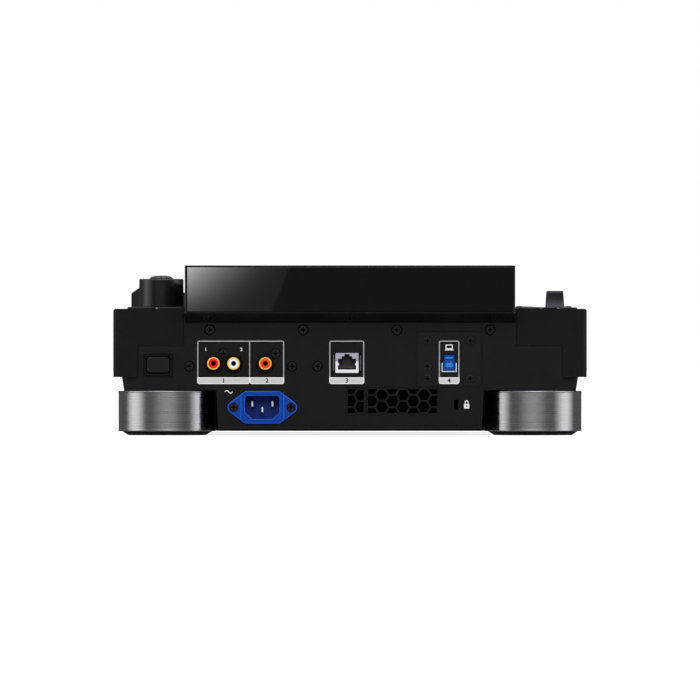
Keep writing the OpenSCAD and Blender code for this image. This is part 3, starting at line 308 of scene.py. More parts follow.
def islands(node):
    """Points of each separate solid of a CAD node, in millimetres and in a steady order."""
    bm = bmesh.new()
    bm.from_mesh(NODES[node].data)
    bmesh.ops.remove_doubles(bm, verts=bm.verts[:], dist=1e-6)
    left = set(bm.verts)
    groups = []
    while left:
        queue = [left.pop()]
        group = []
        while queue:
            vert = queue.pop()
            group.append(vert.co / MM)
            joined = [e.other_vert(vert) for e in vert.link_edges if e.other_vert(vert) in left]
            left.difference_update(joined)
            queue += joined
        groups.append(group)
    bm.free()
    return sorted(groups, key=lambda group: [round(v, 2) for v in span(group)[0]])


REAR_Y = corners("rear_panel")[1].y
PANEL_T = 2.0
DECK_Z = corners("upper_case")[1].z


def on_rear(x, z, out=0.0):
    """Places a part on the rear panel: its Z points out of the panel and its Y up."""
    turn = Matrix(((-1, 0, 0, 0), (0, 0, 1, 0), (0, 1, 0, 0), (0, 0, 0, 1)))
    return Matrix.Translation((x, REAR_Y + out, z)) @ turn


def circle(r, steps=32, at=(0, 0)):
    """Outline of a circle."""
    return [(at[0] + r * cos(tau * i / steps), at[1] + r * sin(tau * i / steps))
            for i in range(steps)]


def fluted(r, count, depth, width=12, steps=144):
    """Outline of a circle with evenly spaced grooves; a greater width makes them narrower."""
    turns = [tau * i / steps for i in range(steps)]
    reach = [r - depth * max(0, cos(count * turn)) ** width for turn in turns]
    return [(q * cos(turn), q * sin(turn)) for q, turn in zip(reach, turns)]


def rounded(w, h, r, steps=4, at=(0, 0)):
    """Outline of a rectangle; r is one radius or four, from the upper right corner round."""
    radii = r if isinstance(r, tuple) else (r, r, r, r)
    points = []
    for quarter, (sx, sy) in enumerate(((1, 1), (-1, 1), (-1, -1), (1, -1))):
        q = radii[quarter]
        for i in range(steps + 1):
            turn = pi / 2 * (quarter + i / steps)
            points.append((at[0] + sx * (w / 2 - q) + q * cos(turn),
                           at[1] + sy * (h / 2 - q) + q * sin(turn)))
    return points


def mirrored(points):
    """Closed outline from the points of its right half, bottom to top."""
    return points + [(-x, y) for x, y in reversed(points)]


def eased(points, r, steps=3):
    """Outline with each corner rounded off, r from the corner or less on a short side."""
    out = []
    for i, middle in enumerate(points):
        middle = Vector(middle)
        before = Vector(points[i - 1]) - middle
        after = Vector(points[(i + 1) % len(points)]) - middle
        cut = min(r, before.length / 2.01, after.length / 2.01)
        start = middle + before.normalized() * cut
        end = middle + after.normalized() * cut
        for k in range(steps + 1):
            t = k / steps
            out.append(tuple(start * (1 - t) ** 2 + middle * 2 * t * (1 - t) + end * t * t))
    return out


def ring(bm, points):
    """Closed loop of edges through some points."""
    verts = [bm.verts.new(point) for point in points]
    return [bm.edges.new(pair) for pair in zip(verts, verts[1:] + verts[:1])]


def plate(outline, low, high, holes=(), edge=0.0, hole_edge=0.0):
    """Solid over an outline with holes; bevels ease the upper rim and the rims of the holes."""
    bm = bmesh.new()
    for loop in (outline, *holes):
        ring(bm, [(x, y, low) for x, y in loop])
    if holes:
        bmesh.ops.triangle_fill(bm, use_beauty=True, edges=bm.edges[:])
    else:
        bmesh.ops.contextual_create(bm, geom=bm.edges[:])
    raised = bmesh.ops.extrude_face_region(bm, geom=bm.faces[:])["geom"]
    top = {item for item in raised if isinstance(item, bmesh.types.BMVert)}
    bmesh.ops.translate(bm, verts=list(top), vec=(0, 0, high - low))
    bmesh.ops.recalc_face_normals(bm, faces=bm.faces[:])
    outer = {(round(x, 3), round(y, 3)) for x, y in outline}
    upper = [e for e in bm.edges if set(e.verts) <= top and e.calc_face_angle(0) > 1]
    for size, wanted in ((edge, True), (hole_edge, False)):
        chosen = [e for e in upper if e.is_valid and wanted == all(
            (round(v.co.x, 3), round(v.co.y, 3)) in outer for v in e.verts)]
        if size and chosen:
            bmesh.ops.bevel(bm, geom=chosen, affect="EDGES", offset=size, segments=3,
                            profile=0.5, material=-1)
    return bm


def stack(outline, levels):
    """Solid whose outline is scaled at each level: pairs of a height and a share of its size."""
    bm = bmesh.new()
    height, share = levels[0]
    foot = cap = bm.faces.new([bm.verts.new((x * share, y * share, height)) for x, y in outline])
    for next_height, next_share in levels[1:]:
        covered = cap
        grown = bmesh.ops.extrude_face_region(bm, geom=[cap])["geom"]
        cap = next(item for item in grown if isinstance(item, bmesh.types.BMFace))
        if covered is not foot:
            bmesh.ops.delete(bm, geom=[covered], context="FACES_ONLY")
        ratio = next_share / share
        bmesh.ops.translate(bm, verts=cap.verts[:], vec=(0, 0, next_height - height))
        bmesh.ops.scale(bm, verts=cap.verts[:], vec=(ratio, ratio, 1))
        height, share = next_height, next_share
    return bm


def loft(sections):
    """Solid through sections that each hold the same number of points."""
    bm = bmesh.new()
    rings = [ring(bm, section) for section in sections]
    for low, high in zip(rings, rings[1:]):
        bmesh.ops.bridge_loops(bm, edges=low + high)
    for end in (rings[0], rings[-1]):
        bmesh.ops.contextual_create(bm, geom=end)
    return bm


def lathe(profile, steps=64, closed=True):
    """Turns a profile of radius and height about Z; its UV map runs round and along, in metres."""
    bm = bmesh.new()
    along = bm.verts.layers.float.new("along")
    uv = bm.loops.layers.uv.new("UVMap")
    verts = [bm.verts.new((r, 0, z)) for r, z in profile]
    length = 0
    for before, vert in zip([verts[0]] + verts, verts):
        length += (vert.co - before.co).length
        vert[along] = length
    pairs = list(zip(verts, verts[1:])) + [(verts[-1], verts[0])] * closed
    edges = [bm.edges.new(pair) for pair in pairs]
    bmesh.ops.spin(bm, geom=verts + edges, cent=(0, 0, 0), axis=(0, 0, 1), angle=tau,
                   steps=steps, use_merge=True)
    bmesh.ops.remove_doubles(bm, verts=bm.verts[:], dist=0.0005)
    radius = max(r for r, z in profile)
    for face in bm.faces:
        turns = [atan2(loop.vert.co.y, loop.vert.co.x) for loop in face.loops]
        if max(turns) - min(turns) > pi:
            turns = [turn % tau for turn in turns]
        for loop, turn in zip(face.loops, turns):
            loop[uv].uv = (turn * radius * MM, loop.vert[along] * MM)
    return bm


def carry(part, target):
    """Moves the faces of one bmesh into another."""
    carrier = bpy.data.meshes.new("carrier")
    part.to_mesh(carrier)
    part.free()
    target.from_mesh(carrier)
    bpy.data.meshes.remove(carrier)


def put(target, part, place=Matrix(), finish=0):
    """Adds a part to a piece in its place; finish is a number or picks one for each face."""
    bmesh.ops.remove_doubles(part, verts=part.verts[:], dist=0.0005)
    bmesh.ops.recalc_face_normals(part, faces=part.faces[:])
    for face in part.faces:
        face.material_index = finish(face) if callable(finish) else finish
    part.transform(place)
    carry(part, target)


def new_piece(name, bm, finishes, body=CASE, replaces=(), sharp=42):
    """Turns a bmesh in millimetres into a piece of the player, in metres and in place."""
    bmesh.ops.scale(bm, verts=bm.verts[:], vec=(MM, MM, MM))
    mesh = bpy.data.meshes.new(name)
    bm.to_mesh(mesh)
    bm.free()
    for finish in finishes:
        mesh.materials.append(finish)
    mesh.shade_smooth()
    mesh.set_sharp_from_angle(angle=radians(sharp))
    piece = bpy.data.objects.new(name, mesh)
    bpy.context.scene.collection.objects.link(piece)
    flat = piece.modifiers.new("flat_faces_stay_flat", "WEIGHTED_NORMAL")
    flat.keep_sharp = True
    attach(piece, body)
    if replaces:
        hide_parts(*replaces)
    return piece


def stand_in(node, bm, finishes, body=CASE, sharp=42):
    """New piece that takes the place of one CAD node."""
    return new_piece(f"{node}_detailed", bm, finishes, body, [node], sharp)


def middle_of(node):
    """Place of a node's middle in plan, at the height of the table."""
    low, high = corners(node)
    return Matrix.Translation(((low.x + high.x) / 2, (low.y + high.y) / 2, 0))


def rim_highlight_finish(flat, rim):
    """Picks one finish for the flat faces of an upright part and a lighter one for its eased rims:
    a painted highlight along the rims.
    """
    return lambda face: rim if 0.15 < face.normal.z < 0.97 else flat


# ---------------------------------------------------------------- feet and screws

def make_feet():
    """Turned ring of each foot: a bead at both ends of the barrel and a bore for its spigot."""
    pad_r, seat_z, web_z, spigot_r, hole_r = 31.6, 6.0, 9.0, 27.3, 4.0
    for number, points in enumerate(islands("foot_rings"), 1):
        low, high = span(points)
        r = (high.x - low.x) / 2
        barrel_r = r - 0.15
        profile = eased([
            (hole_r, seat_z), (pad_r, seat_z), (pad_r, low.z), (r - 0.4, low.z), (r, low.z + 0.4),
            (r, low.z + 0.9), (barrel_r, low.z + 1.2), (barrel_r, high.z - 1.4),
            (r, high.z - 1.1), (r, high.z - 0.5), (r - 0.5, high.z), (spigot_r, high.z),
            (spigot_r, web_z), (hole_r, web_z)], 0.3, steps=2)
        bm = bmesh.new()
        middle = Matrix.Translation(((low.x + high.x) / 2, (low.y + high.y) / 2, 0))
        put(bm, lathe(profile, 160), middle)
        new_piece(f"foot_ring_{number}", bm, [foot_aluminium], replaces=["foot_rings"])


def driver_cross(tip, arm):
    """Outline of a cross recess whose arms narrow a little to their tips."""
    points = []
    for quarter in range(4):
        turn = Matrix.Rotation(quarter * pi / 2, 2)
        for point in ((tip / 2, -arm * 0.36), (tip / 2, arm * 0.36), (arm / 2, arm / 2)):
            points.append(tuple(turn @ Vector(point)))
    return points


def screw():
    """Pan-head screw, top at the origin and point down: a cross recess blackened inside as painted
    shade, and a thin black ring round the head as painted shadow.
    """
    head_r, head_t, shank_r, length, recess, recess_r = 2.95, 1.0, 1.5, 8.0, 0.75, 2.3
    shadow_ring_r, shadow_ring_t = 3.7, 0.35

    # Faces inside the cross recess take the black: painted shade
    def in_recess(face):
        middle = face.calc_center_median()
        return 1 if middle.z < -0.1 and middle.xy.length < recess_r - 0.1 else 0

    bm = bmesh.new()
    put(bm, plate(circle(head_r), -head_t, 0, [driver_cross(3.8, 1.1)], edge=0.4, hole_edge=0.12),
        finish=in_recess)
    shank = lathe([(0, -recess), (recess_r, -recess), (recess_r, -head_t), (shank_r, -head_t),
                   (shank_r, -length + 1), (0.4, -length), (0, -length)], 24, closed=False)
    put(bm, shank, finish=1)
    # Thin black ring round the head: painted shadow, where a dimple's shade would fall
    shadow_ring = plate(circle(shadow_ring_r, 48), -head_t, -head_t + shadow_ring_t, [circle(head_r - 0.05)])
    put(bm, shadow_ring, finish=1)
    return bm


def make_screws():
    """Every case screw at its CAD place; those under the screen stand square to its slope."""
    rise, run = 6.6, 16.5
    slope = atan2(rise, run)
    bm = bmesh.new()
    one = bpy.data.meshes.new("screw")
    sample = screw()
    sample.to_mesh(one)
    sample.free()
    for points in islands("case_screws"):
        low, high = span(points)
        under = (low.y + high.y) / 2 > REAR_Y + 5
        axis = Vector((0, sin(slope), -cos(slope))) if under else Vector((0, 1, 0))
        reach = max(point.dot(axis) for point in points)
        top = [point for point in points if point.dot(axis) > reach - 0.01]
        centre = sum(top, Vector()) / len(top)
        turn = axis.to_track_quat("Z", "Y").to_matrix().to_4x4()
        copy = bmesh.new()
        copy.from_mesh(one)
        copy.transform(Matrix.Translation(centre) @ turn)
        carry(copy, bm)
    bpy.data.meshes.remove(one)
    stand_in("case_screws", bm, [screw_steel, painted_shade_black])


def make_base_shadow_strips():
    """Black strips at the foot of the chassis pan, along both sides and under the rear panel:
    painted shadow where the shade under the player falls.
    """
    pan_x, strip_x, low_z, high_z, front, edge_t = 91.3, 94.6, 3.2, 4.4, -198.0, 0.12
    rear = corners("bottom_chassis")[1].y
    bm = bmesh.new()
    for side in (-1, 1):
        middle = (side * (pan_x + strip_x) / 2, (rear + front) / 2)
        side_strip = rounded(strip_x - pan_x, rear - front, 0.3, 2, middle)
        put(bm, plate(side_strip, low_z, high_z, edge=0.3))
    edge = rounded(2 * strip_x, high_z - low_z, 0.1, 1, (0, (low_z + high_z) / 2))
    put(bm, plate(edge, 0, edge_t), on_rear(0, 0))
    new_piece("base_shadow_strips", bm, [shadow_strip_black])


# ---------------------------------------------------------------- sockets on the rear panel

def make_phono_jacks():
    """Phono sockets: plated sleeve, coloured insulator with its bore, collar and block behind."""
    finishes = [jack_abs, gold, red_abs, white_abs, orange_abs]
    collar_r, sleeve_r, insert_r, bore_r, reach = 6.3, 4.35, 3.5, 1.75, 9.0
    bm = bmesh.new()
    for mount, colour in (("phono_right", 2), ("phono_left", 3), ("digital_out", 4)):
        place = on_rear(MOUNTS[mount].x, MOUNTS[mount].z)
        put(bm, lathe(eased([(sleeve_r + 0.1, -PANEL_T - 0.4), (collar_r, -PANEL_T - 0.4),
                             (collar_r, 0.02), (collar_r + 0.5, 0.02), (collar_r + 0.5, 0.3),
                             (collar_r - 0.1, 0.9), (sleeve_r + 1.2, 1.0), (sleeve_r + 0.6, 0.4),
                             (sleeve_r + 0.1, 0.4)], 0.2, 2)), place)
        put(bm, lathe(eased([(insert_r - 0.05, -2), (sleeve_r, -2), (sleeve_r, reach - 0.3),
                             (sleeve_r - 0.25, reach), (insert_r + 0.1, reach),
                             (insert_r - 0.05, reach - 0.2)], 0.1, 2)), place, 1)
        put(bm, lathe(eased([(bore_r, 1), (insert_r, 1), (insert_r, reach - 0.45),
                             (insert_r - 0.2, reach - 0.25), (bore_r + 0.15, reach - 0.25),
                             (bore_r, reach - 0.5)], 0.1, 2), 48), place, colour)
        put(bm, lathe([(0, 1.6), (bore_r + 0.1, 1.6), (bore_r + 0.1, 1), (0, 1)], 24,
                      closed=False), place)
    for points in islands("phono_jacks"):
        low, high = span(points)
        middle = on_rear((low.x + high.x) / 2, (low.z + high.z) / 2)
        put(bm, plate(rounded(high.x - low.x, high.z - low.z, 0.8),
                      low.y - REAR_Y, -PANEL_T - 0.05, edge=0.3), middle)
    stand_in("phono_jacks", bm, finishes)


def make_network_jack():
    """Eight-way network jack: tinned shell round a stepped opening, contacts and side springs."""
    at = MOUNTS["network_socket"]
    place = on_rear(at.x, at.z)
    w, h, depth, well, lip = 16.1, 13.9, 21.0, 12.0, 0.8
    floor = 2.4 - h / 2
    shade_y = 1.0
    body_w, body_h, latch_w, latch_h, tip_w, tip_h = 12.6, 7.4, 7.3, 1.7, 3.7, 1.6
    contacts, pitch = 8, 1.3
    opening = mirrored([
        (body_w / 2, floor), (body_w / 2, floor + body_h), (latch_w / 2, floor + body_h),
        (latch_w / 2, floor + body_h + latch_h), (tip_w / 2, floor + body_h + latch_h),
        (tip_w / 2, floor + body_h + latch_h + tip_h)])

    def shell_face(face):
        middle = face.calc_center_median()
        inside = abs(middle.x) < body_w / 2 + 0.05 and floor - 0.05 < middle.y < h / 2 - 0.5
        if inside and abs(face.normal.z) < 0.3:
            return 1
        # Shell face above shade_y takes the darker tin: painted shade
        return 3 if middle.y > shade_y else 0

    bm = bmesh.new()
    shell = plate(rounded(w, h, 0.5), -well, lip, [opening], edge=0.25, hole_edge=0.15)
    bmesh.ops.bisect_plane(shell, geom=shell.verts[:] + shell.edges[:] + shell.faces[:],
                           plane_co=(0, shade_y, 0), plane_no=(0, 1, 0))
    put(bm, shell, place, shell_face)
    put(bm, plate(rounded(w, h, 0.5), -depth, -well - 0.01), place, 1)
    # Eight bent contacts near the floor of the opening, in a darker gold: painted shade
    for i in range(contacts):
        bar = rounded(0.6, 0.8, 0.15, 2, ((i - (contacts - 1) / 2) * pitch, floor + 1.5))
        put(bm, plate(bar, -well + 0.5, -3.5, edge=0.1), place, 2)
    # Round catches half way up both sides, and the springs that earth the shell to the panel
    for side in (-1, 1):
        catch = circle(1.0, 20, (side * (body_w / 2 + 0.25), -0.9))
        put(bm, stack(catch, [(0, 1), (lip + 0.05, 1)]), place)
        spring = [(side * x, y) for x, y in rounded(0.5, 10.9, 0.2, 2, (w / 2 + 1.35, 0))]
        put(bm, plate(spring, -4.8, lip - 0.6, edge=0.15), place, 4)
        web = [(side * x, y) for x, y in rounded(1.2, 10.5, 0.1, 1, (w / 2 + 0.5, 0))]
        put(bm, plate(web, -4.6, -4.0), place, 1)
    stand_in("network_jack", bm,
             [shell_tin, socket_abs, shaded_gold, shell_painted_shade, spring_steel])


def make_usb_b_port():
    """Two-step square socket: tin rim, blue housing, tongues and four contacts."""
    at = MOUNTS["usb_b_socket"]
    place = on_rear(at.x, at.z, out=-0.2)
    depth = 16.0
    rim = [(-5.2, 2.3), (-5.2, -3.9), (5.2, -3.9), (5.2, 2.3),
           (4.7, 2.3), (4.7, -3.4), (-4.7, -3.4), (-4.7, 2.3)]
    housing = mirrored([(4.65, -3.35), (4.65, 2.5), (3.55, 3.9), (3.55, 7.7)])
    well = mirrored([(3.9, -2.45), (3.9, 2.2), (2.9, 3.4), (2.9, 7.1)])
    well_depth = 2.2
    bm = bmesh.new()
    put(bm, plate(rim, -depth, 0, edge=0.12), place)
    put(bm, plate(housing, -depth, -0.25, [well], edge=0.2, hole_edge=0.15), place, 1)
    put(bm, plate(housing, -depth - 1, -well_depth), place, 1)
    put(bm, plate(rounded(5.1, 3.1, 0.4, 3, (0, 0.75)), -well_depth, -0.5, edge=0.25), place, 2)
    put(bm, plate(rounded(5.3, 1.5, 0.3, 3, (0, 5.95)), -well_depth, -0.5, edge=0.2), place, 2)
    # Four contacts in the darker gold: painted shade
    for x in (-1.2, 1.2):
        for y in (-1.35, 2.85):
            put(bm, plate(circle(0.5, 16, (x, y)), -well_depth, -0.9, edge=0.1), place, 3)
    foot, base = rim[1][1], corners("usb_b_port")[0].z - at.z
    block = rounded(10.6, foot - base, 0.2, 2, (0, (foot + base) / 2))
    put(bm, plate(block, -depth, -PANEL_T - 1), place)
    stand_in("usb_b_port", bm, [shell_tin, blue_abs, tongue_abs, shaded_gold])


def inlet_flange_outline(w, h, ear_x, ear_r, block_w=None):
    """Flange with an ear round each screw; with block_w, only its middle up to that width."""
    reach = hypot(ear_x - w / 2, h / 2)
    turn = atan2(h / 2, w / 2 - ear_x) - acos(ear_r / reach)
    if block_w:
        touch = Vector((ear_x + ear_r * cos(turn), ear_r * sin(turn)))
        share = (block_w / 2 - w / 2) / (touch.x - w / 2)
        side = h / 2 + share * (touch.y - h / 2)
        half = [(w / 2, -h / 2), (block_w / 2, -side), (block_w / 2, side), (w / 2, h / 2)]
    else:
        arc = [turn * (i / 8 - 1) for i in range(17)]
        half = [(ear_x + ear_r * cos(a), ear_r * sin(a)) for a in arc]
        half = [(w / 2, -h / 2)] + half + [(w / 2, h / 2)]
    return mirrored(half)


def make_mains_inlet():
    """Mains inlet: eared flange with a raised middle, a six-sided well and three tinned blades."""
    at = MOUNTS["mains_inlet"]
    place = on_rear(at.x, at.z)
    ear_t, flange_t, ear_x, ear_r, pocket_r = 1.9, 2.5, 19.9, 4.3, 3.3
    flange_w, flange_h, block_w, body_w, body_h = 24, 22.6, 30.4, 28, 20
    half_w, half_h, cut, r = 12.0, 8.1, 4.8, 2.0
    well_depth, depth = 17.0, 24.0
    blade_w, blade_h, shoulder, tip_depth = 1.3, 4.0, 3.4, 2.6
    live_x, live_y, earth_y = 7, 2.3, -1.6
    corner = [(half_w - r + r * cos(a), half_h - r + r * sin(a))
              for a in (pi / 2 * i / 5 for i in range(6))]
    well = mirrored([(half_w - cut, -half_h), (half_w, -half_h + cut)] + corner)
    pockets = [[(side * (ear_x + x), y) for x, y in circle(pocket_r)] for side in (-1, 1)]
    flange = inlet_flange_outline(flange_w, flange_h, ear_x, ear_r)
    block = inlet_flange_outline(flange_w, flange_h, ear_x, ear_r, block_w)
    body = rounded(body_w, body_h, 1)
    bm = bmesh.new()
    # Eared flange and raised middle: their eased rims take the brighter blue, a painted highlight
    put(bm, plate(eased(flange, 0.6, 2), 0.01, ear_t, [well, *pockets], edge=0.55, hole_edge=0.1),
        place, rim_highlight_finish(3, 4))
    put(bm, plate(eased(block, 0.9, 3), 0.3, flange_t, [well], edge=0.5, hole_edge=0.35),
        place, rim_highlight_finish(0, 4))
    # Walls and floor of the well in the darker blue: painted shade
    put(bm, plate(body, -well_depth, 0.2, [well]), place, 1)
    put(bm, plate(body, -depth, -well_depth - 0.01), place, 1)
    # Black discs under the screw pockets: painted shade round the screws
    for side in (-1, 1):
        floor = [(side * (ear_x + x), y) for x, y in circle(ear_r - 0.3)]
        put(bm, plate(floor, 0.01, 0.75), place, 5)
    for x, y in ((-live_x, live_y), (live_x, live_y), (0, earth_y)):
        blade = rounded(blade_w, blade_h, 0.25, 2)
        tip = [(a * 0.75 + x, b * 0.8 + y) for a, b in blade]
        root = [(a + x, b + y) for a, b in blade]
        put(bm, loft([[(*p, -well_depth) for p in root], [(*p, -shoulder) for p in root],
                      [(*p, -tip_depth) for p in tip]]), place, 2)
    stand_in("mains_inlet", bm,
             [inlet_pbt, inlet_well_shade, shell_tin, inlet_wing, inlet_edge_highlight, painted_shade_black])


def chamfered(w, h, cut):
    """Outline of a rectangle with its corners cut off."""
    return mirrored([(w / 2 - cut, -h / 2), (w / 2, -h / 2 + cut), (w / 2, h / 2 - cut),
                     (w / 2 - cut, h / 2)])


def make_power_switch():
    """Power switch: bezel with bevelled rims, and the button that sinks into it."""
    low, high = corners("power_switch")
    place = on_rear((low.x + high.x) / 2, (low.z + high.z) / 2)
    bezel_w, bezel_h = high.x - low.x, high.z - low.z
    button_w, button_h, button_out, button_depth, cut = 15.4, 11.0, 2, 9, 1.3
    body_w, body_h, well, depth = 18.8, 13.8, 12.0, 16
    opening = chamfered(button_w + 1.0, button_h + 1.4, cut)
    bm = bmesh.new()
    # The bezel's eased rims take the lighter button plastic: a painted highlight
    put(bm, plate(eased(chamfered(bezel_w, bezel_h, 0.5), 0.2), 0.01, 1, [opening],
                  edge=0.35, hole_edge=0.5), place, rim_highlight_finish(0, 1))
    body = rounded(body_w, body_h, 0.5)
    put(bm, plate(body, -well, 0, [opening]), place)
    put(bm, plate(body, -depth, -well - 0.01), place)
    stand_in("power_switch", bm, [bezel_abs, button_abs])
    bm = bmesh.new()
    outline = chamfered(button_w, button_h, cut)
    put(bm, plate(outline, -button_depth, button_out, edge=0.7), place)
    stand_in("power_button", bm, [button_abs], "power_button", sharp=12)


# ---------------------------------------------------------------- print

def numeral(text, height):
    """Plain numeral as a thin solid, centred on the origin."""
    curve = bpy.data.curves.new("numeral", "FONT")
    curve.body = text
    curve.size = height * 1.4
    curve.align_x = "CENTER"
    curve.align_y = "CENTER"
    curve.extrude = 0.02
    curve.offset = 0.035 * height
    carrier = bpy.data.objects.new("numeral", curve)
    mesh = bpy.data.meshes.new_from_object(carrier)
    bm = bmesh.new()
    bm.from_mesh(mesh)
    bpy.data.objects.remove(carrier)
    bpy.data.curves.remove(curve)
    bpy.data.meshes.remove(mesh)
    return bm


INK = 0.05
FRAME_TOP, FRAME_FOOT, STRIP_H, LINE = 65.9, 35.7, 4.7, 0.85


def label_frame(bm, from_x, to_x, number, out=0.0, shared=""):
    """Printed frame round a socket with a label strip at its foot; shared names a joined side."""
    w = from_x - to_x
    h = FRAME_TOP - FRAME_FOOT
    place = on_rear((from_x + to_x) / 2, (FRAME_TOP + FRAME_FOOT) / 2, out)
    corner, square, border = 1.5, 0.02, 1.3
    left, right = (LINE / 2 if shared == side else LINE for side in ("left", "right"))
    top_left, top_right = (square if shared == side else corner for side in ("left", "right"))
    window_w = w - left - right
    window_h = h - LINE - STRIP_H
    centre = ((left - right) / 2, h / 2 - LINE - window_h / 2)
    window = rounded(window_w, window_h, 0.3, 2, centre)
    strip_y = -h / 2 + STRIP_H / 2
    outline = rounded(w, h, (top_right, top_left, corner, corner))
    put(bm, plate(outline, 0, INK, [window]), place, 0)
    # Black band just inside the frame line: painted shade, as if the window were set back
    shade = rounded(window_w - border, window_h - border, 0.1, 1, centre)
    put(bm, plate(window, 0, INK * 0.6, [shade]), place, 3)
    strip = rounded(w - 0.02, STRIP_H, (square, square, corner, corner), 4, (0, strip_y))
    put(bm, plate(strip, 0, INK * 1.4), place, 1)
    label = rounded(w - border, STRIP_H - border, 0.5, 3, (0, strip_y))
    put(bm, plate(label, 0, INK * 1.8), place, 2)
    put(bm, numeral(number, 3.0), place @ Matrix.Translation((0, strip_y, INK * 2)), 3)


def make_print():
    """Frames and pictograms on the rear panel; plain numbers stand on the label strips."""
    finishes = [line_ink, edge_ink, label_ink, black_ink_and_painted_shade]
    bm = bmesh.new()
    label_frame(bm, 106.1, 69.7, "1", shared="right")
    label_frame(bm, 69.7, 45.7, "2", shared="left")
    label_frame(bm, 14.4, -9.9, "3")
    for mount, number in (("phono_right", "1"), ("phono_left", "2")):
        outward = 5.4 if mount == "phono_right" else -5.4
        put(bm, numeral(number, 2.2), on_rear(MOUNTS[mount].x + outward, 59.7, INK), 1)
    # Alternating current sign over the mains inlet
    length, swing, half = 5.4, 0.85, 0.35
    wave = [(length * (i / 24 - 0.5), swing * sin(tau * i / 24)) for i in range(25)]
    stroke = [(x, y + half) for x, y in wave] + [(x, y - half) for x, y in reversed(wave)]
    put(bm, plate(stroke, 0, INK), on_rear(84.2, 30.3), 1)
    # Padlock beside the lock slot
    lock = on_rear(-81.0, 20.6)
    bow_r, gap_r, arch_y, foot_y = 1.35, 0.75, 2.4, 1.2
    turns = [pi * i / 12 for i in range(13)]
    bow = [(bow_r * cos(a), arch_y + bow_r * sin(a)) for a in turns]
    gap = [(gap_r * cos(a), arch_y + gap_r * sin(a)) for a in reversed(turns)]
    bow = [(bow_r, foot_y)] + bow + [(-bow_r, foot_y), (-gap_r, foot_y)] + gap + [(gap_r, foot_y)]
    put(bm, plate(bow, 0, INK), lock, 1)
    middle = (0, -0.3)
    keyhole = circle(0.55, 16, middle)
    put(bm, plate(rounded(3.7, 3.2, 0.5, 3, middle), 0, INK, [keyhole]), lock, 1)
    new_piece("panel_print", bm, finishes)
    bm = bmesh.new()
    channel = -0.4
    label_frame(bm, -61.7, -76.0, "4", out=channel)
    # Computer over the square socket
    computer = on_rear(MOUNTS["usb_b_socket"].x, 61.6, channel)
    put(bm, plate(rounded(5.0, 3.2, 0.5, 3), 0, INK, [rounded(3.7, 2.0, 0.2, 2)]), computer, 1)
    put(bm, plate([(-2.6, -1.75), (2.6, -1.75), (3.2, -2.5), (-3.2, -2.5)], 0, INK), computer, 1)
    new_piece("cover_print", bm, finishes)


# ---------------------------------------------------------------- screen

def tilted(node):
    """Place of a tilted node's upper face: centre, X across and Z out of it."""
    mesh = NODES[node].data
    face = max((f for f in mesh.polygons if f.normal.z > 0.5), key=lambda f: f.area)
    normal = face.normal.copy()
    points = [v.co / MM for v in mesh.vertices]
    reach = max(point.dot(normal) for point in points)
    low, high = span([point for point in points if point.dot(normal) > reach - 0.05])
    turn = Matrix.Rotation(atan2(-normal.y, normal.z), 4, "X")
    return Matrix.Translation((low + high) / 2) @ turn


def make_touch_glass():
    """Cover glass of the touch screen; the display under its middle is a shade lighter."""
    place = tilted("screen_glass")
    low, high = span([place.inverted() @ (v.co / MM) for v in NODES["screen_glass"].data.vertices])
    w, h, border_x, border_y = high.x - low.x, high.y - low.y, 11, 6
    active = rounded(w - 2 * border_x, h - 2 * border_y, 1.0)
    bm = bmesh.new()
    put(bm, plate(rounded(w, h, 2.0), low.z, 0, [active], edge=0.35), place)
    put(bm, plate(active, low.z, 0), place, 1)
    new_piece("touch_glass_detailed", bm, [touch_glass, dark_display],
              replaces=["screen_glass"])


def make_back_glass():
    """Bare glass panel across the back of the screen housing, with ground edges."""
    low, high = corners("screen_back_glass")
    place = on_rear(0, (low.z + high.z) / 2, high.y - REAR_Y)
    bm = bmesh.new()
    outline = rounded(high.x - low.x, high.z - low.z, 0.5)
    put(bm, plate(outline, low.y - high.y, 0, edge=0.4), place)
    new_piece("back_glass_detailed", bm, [black_glass], replaces=["screen_back_glass"],
              sharp=5)


# ---------------------------------------------------------------- jog wheel

def make_jog():
    """Spun plate on the platter, and the round display on the fixed hub."""
    low, high = corners("jog_top_plate")
    middle = middle_of("jog_top_plate")
    centre_y = (low.y + high.y) / 2
    points = [v.co / MM for v in NODES["jog_top_plate"].data.vertices]
    inner = min(p.y for p in points if p.y > centre_y and abs(p.x) < 2) - centre_y
    r = (high.x - low.x) / 2
    bm = bmesh.new()
    disc = [(inner, low.z), (r, low.z), (r, high.z - 0.4), (r - 0.4, high.z), (r - 7, high.z),
            (r - 7.2, high.z - 0.15), (r - 7.8, high.z - 0.15), (r - 8, high.z),
            (inner + 0.4, high.z), (inner, high.z - 0.4)]
    put(bm, lathe(eased(disc, 0.12, 2), 160), middle)
    new_piece("jog_plate_detailed", bm, [spun_plate], body="jog_wheel",
              replaces=["jog_top_plate"])
    low, high = corners("jog_display")
    r = (high.x - low.x) / 2
    window_z = high.z - 0.4
    bm = bmesh.new()
    rim_z = low.z + 4
    rim = [(r - 3.2, rim_z), (r, rim_z), (r, high.z - 0.8), (r - 0.8, high.z),
           (r - 2.6, high.z), (r - 3.0, window_z), (r - 3.2, window_z)]
    put(bm, lathe(eased(rim, 0.25, 2), 128), middle)
    window = [(0, window_z), (r - 3.1, window_z), (r - 3.1, rim_z), (0, rim_z)]
    put(bm, lathe(window, 128, closed=False), middle, 1)
    stand_in("jog_display", bm, [touch_glass, dark_display])


# ---------------------------------------------------------------- knobs, lever and fader

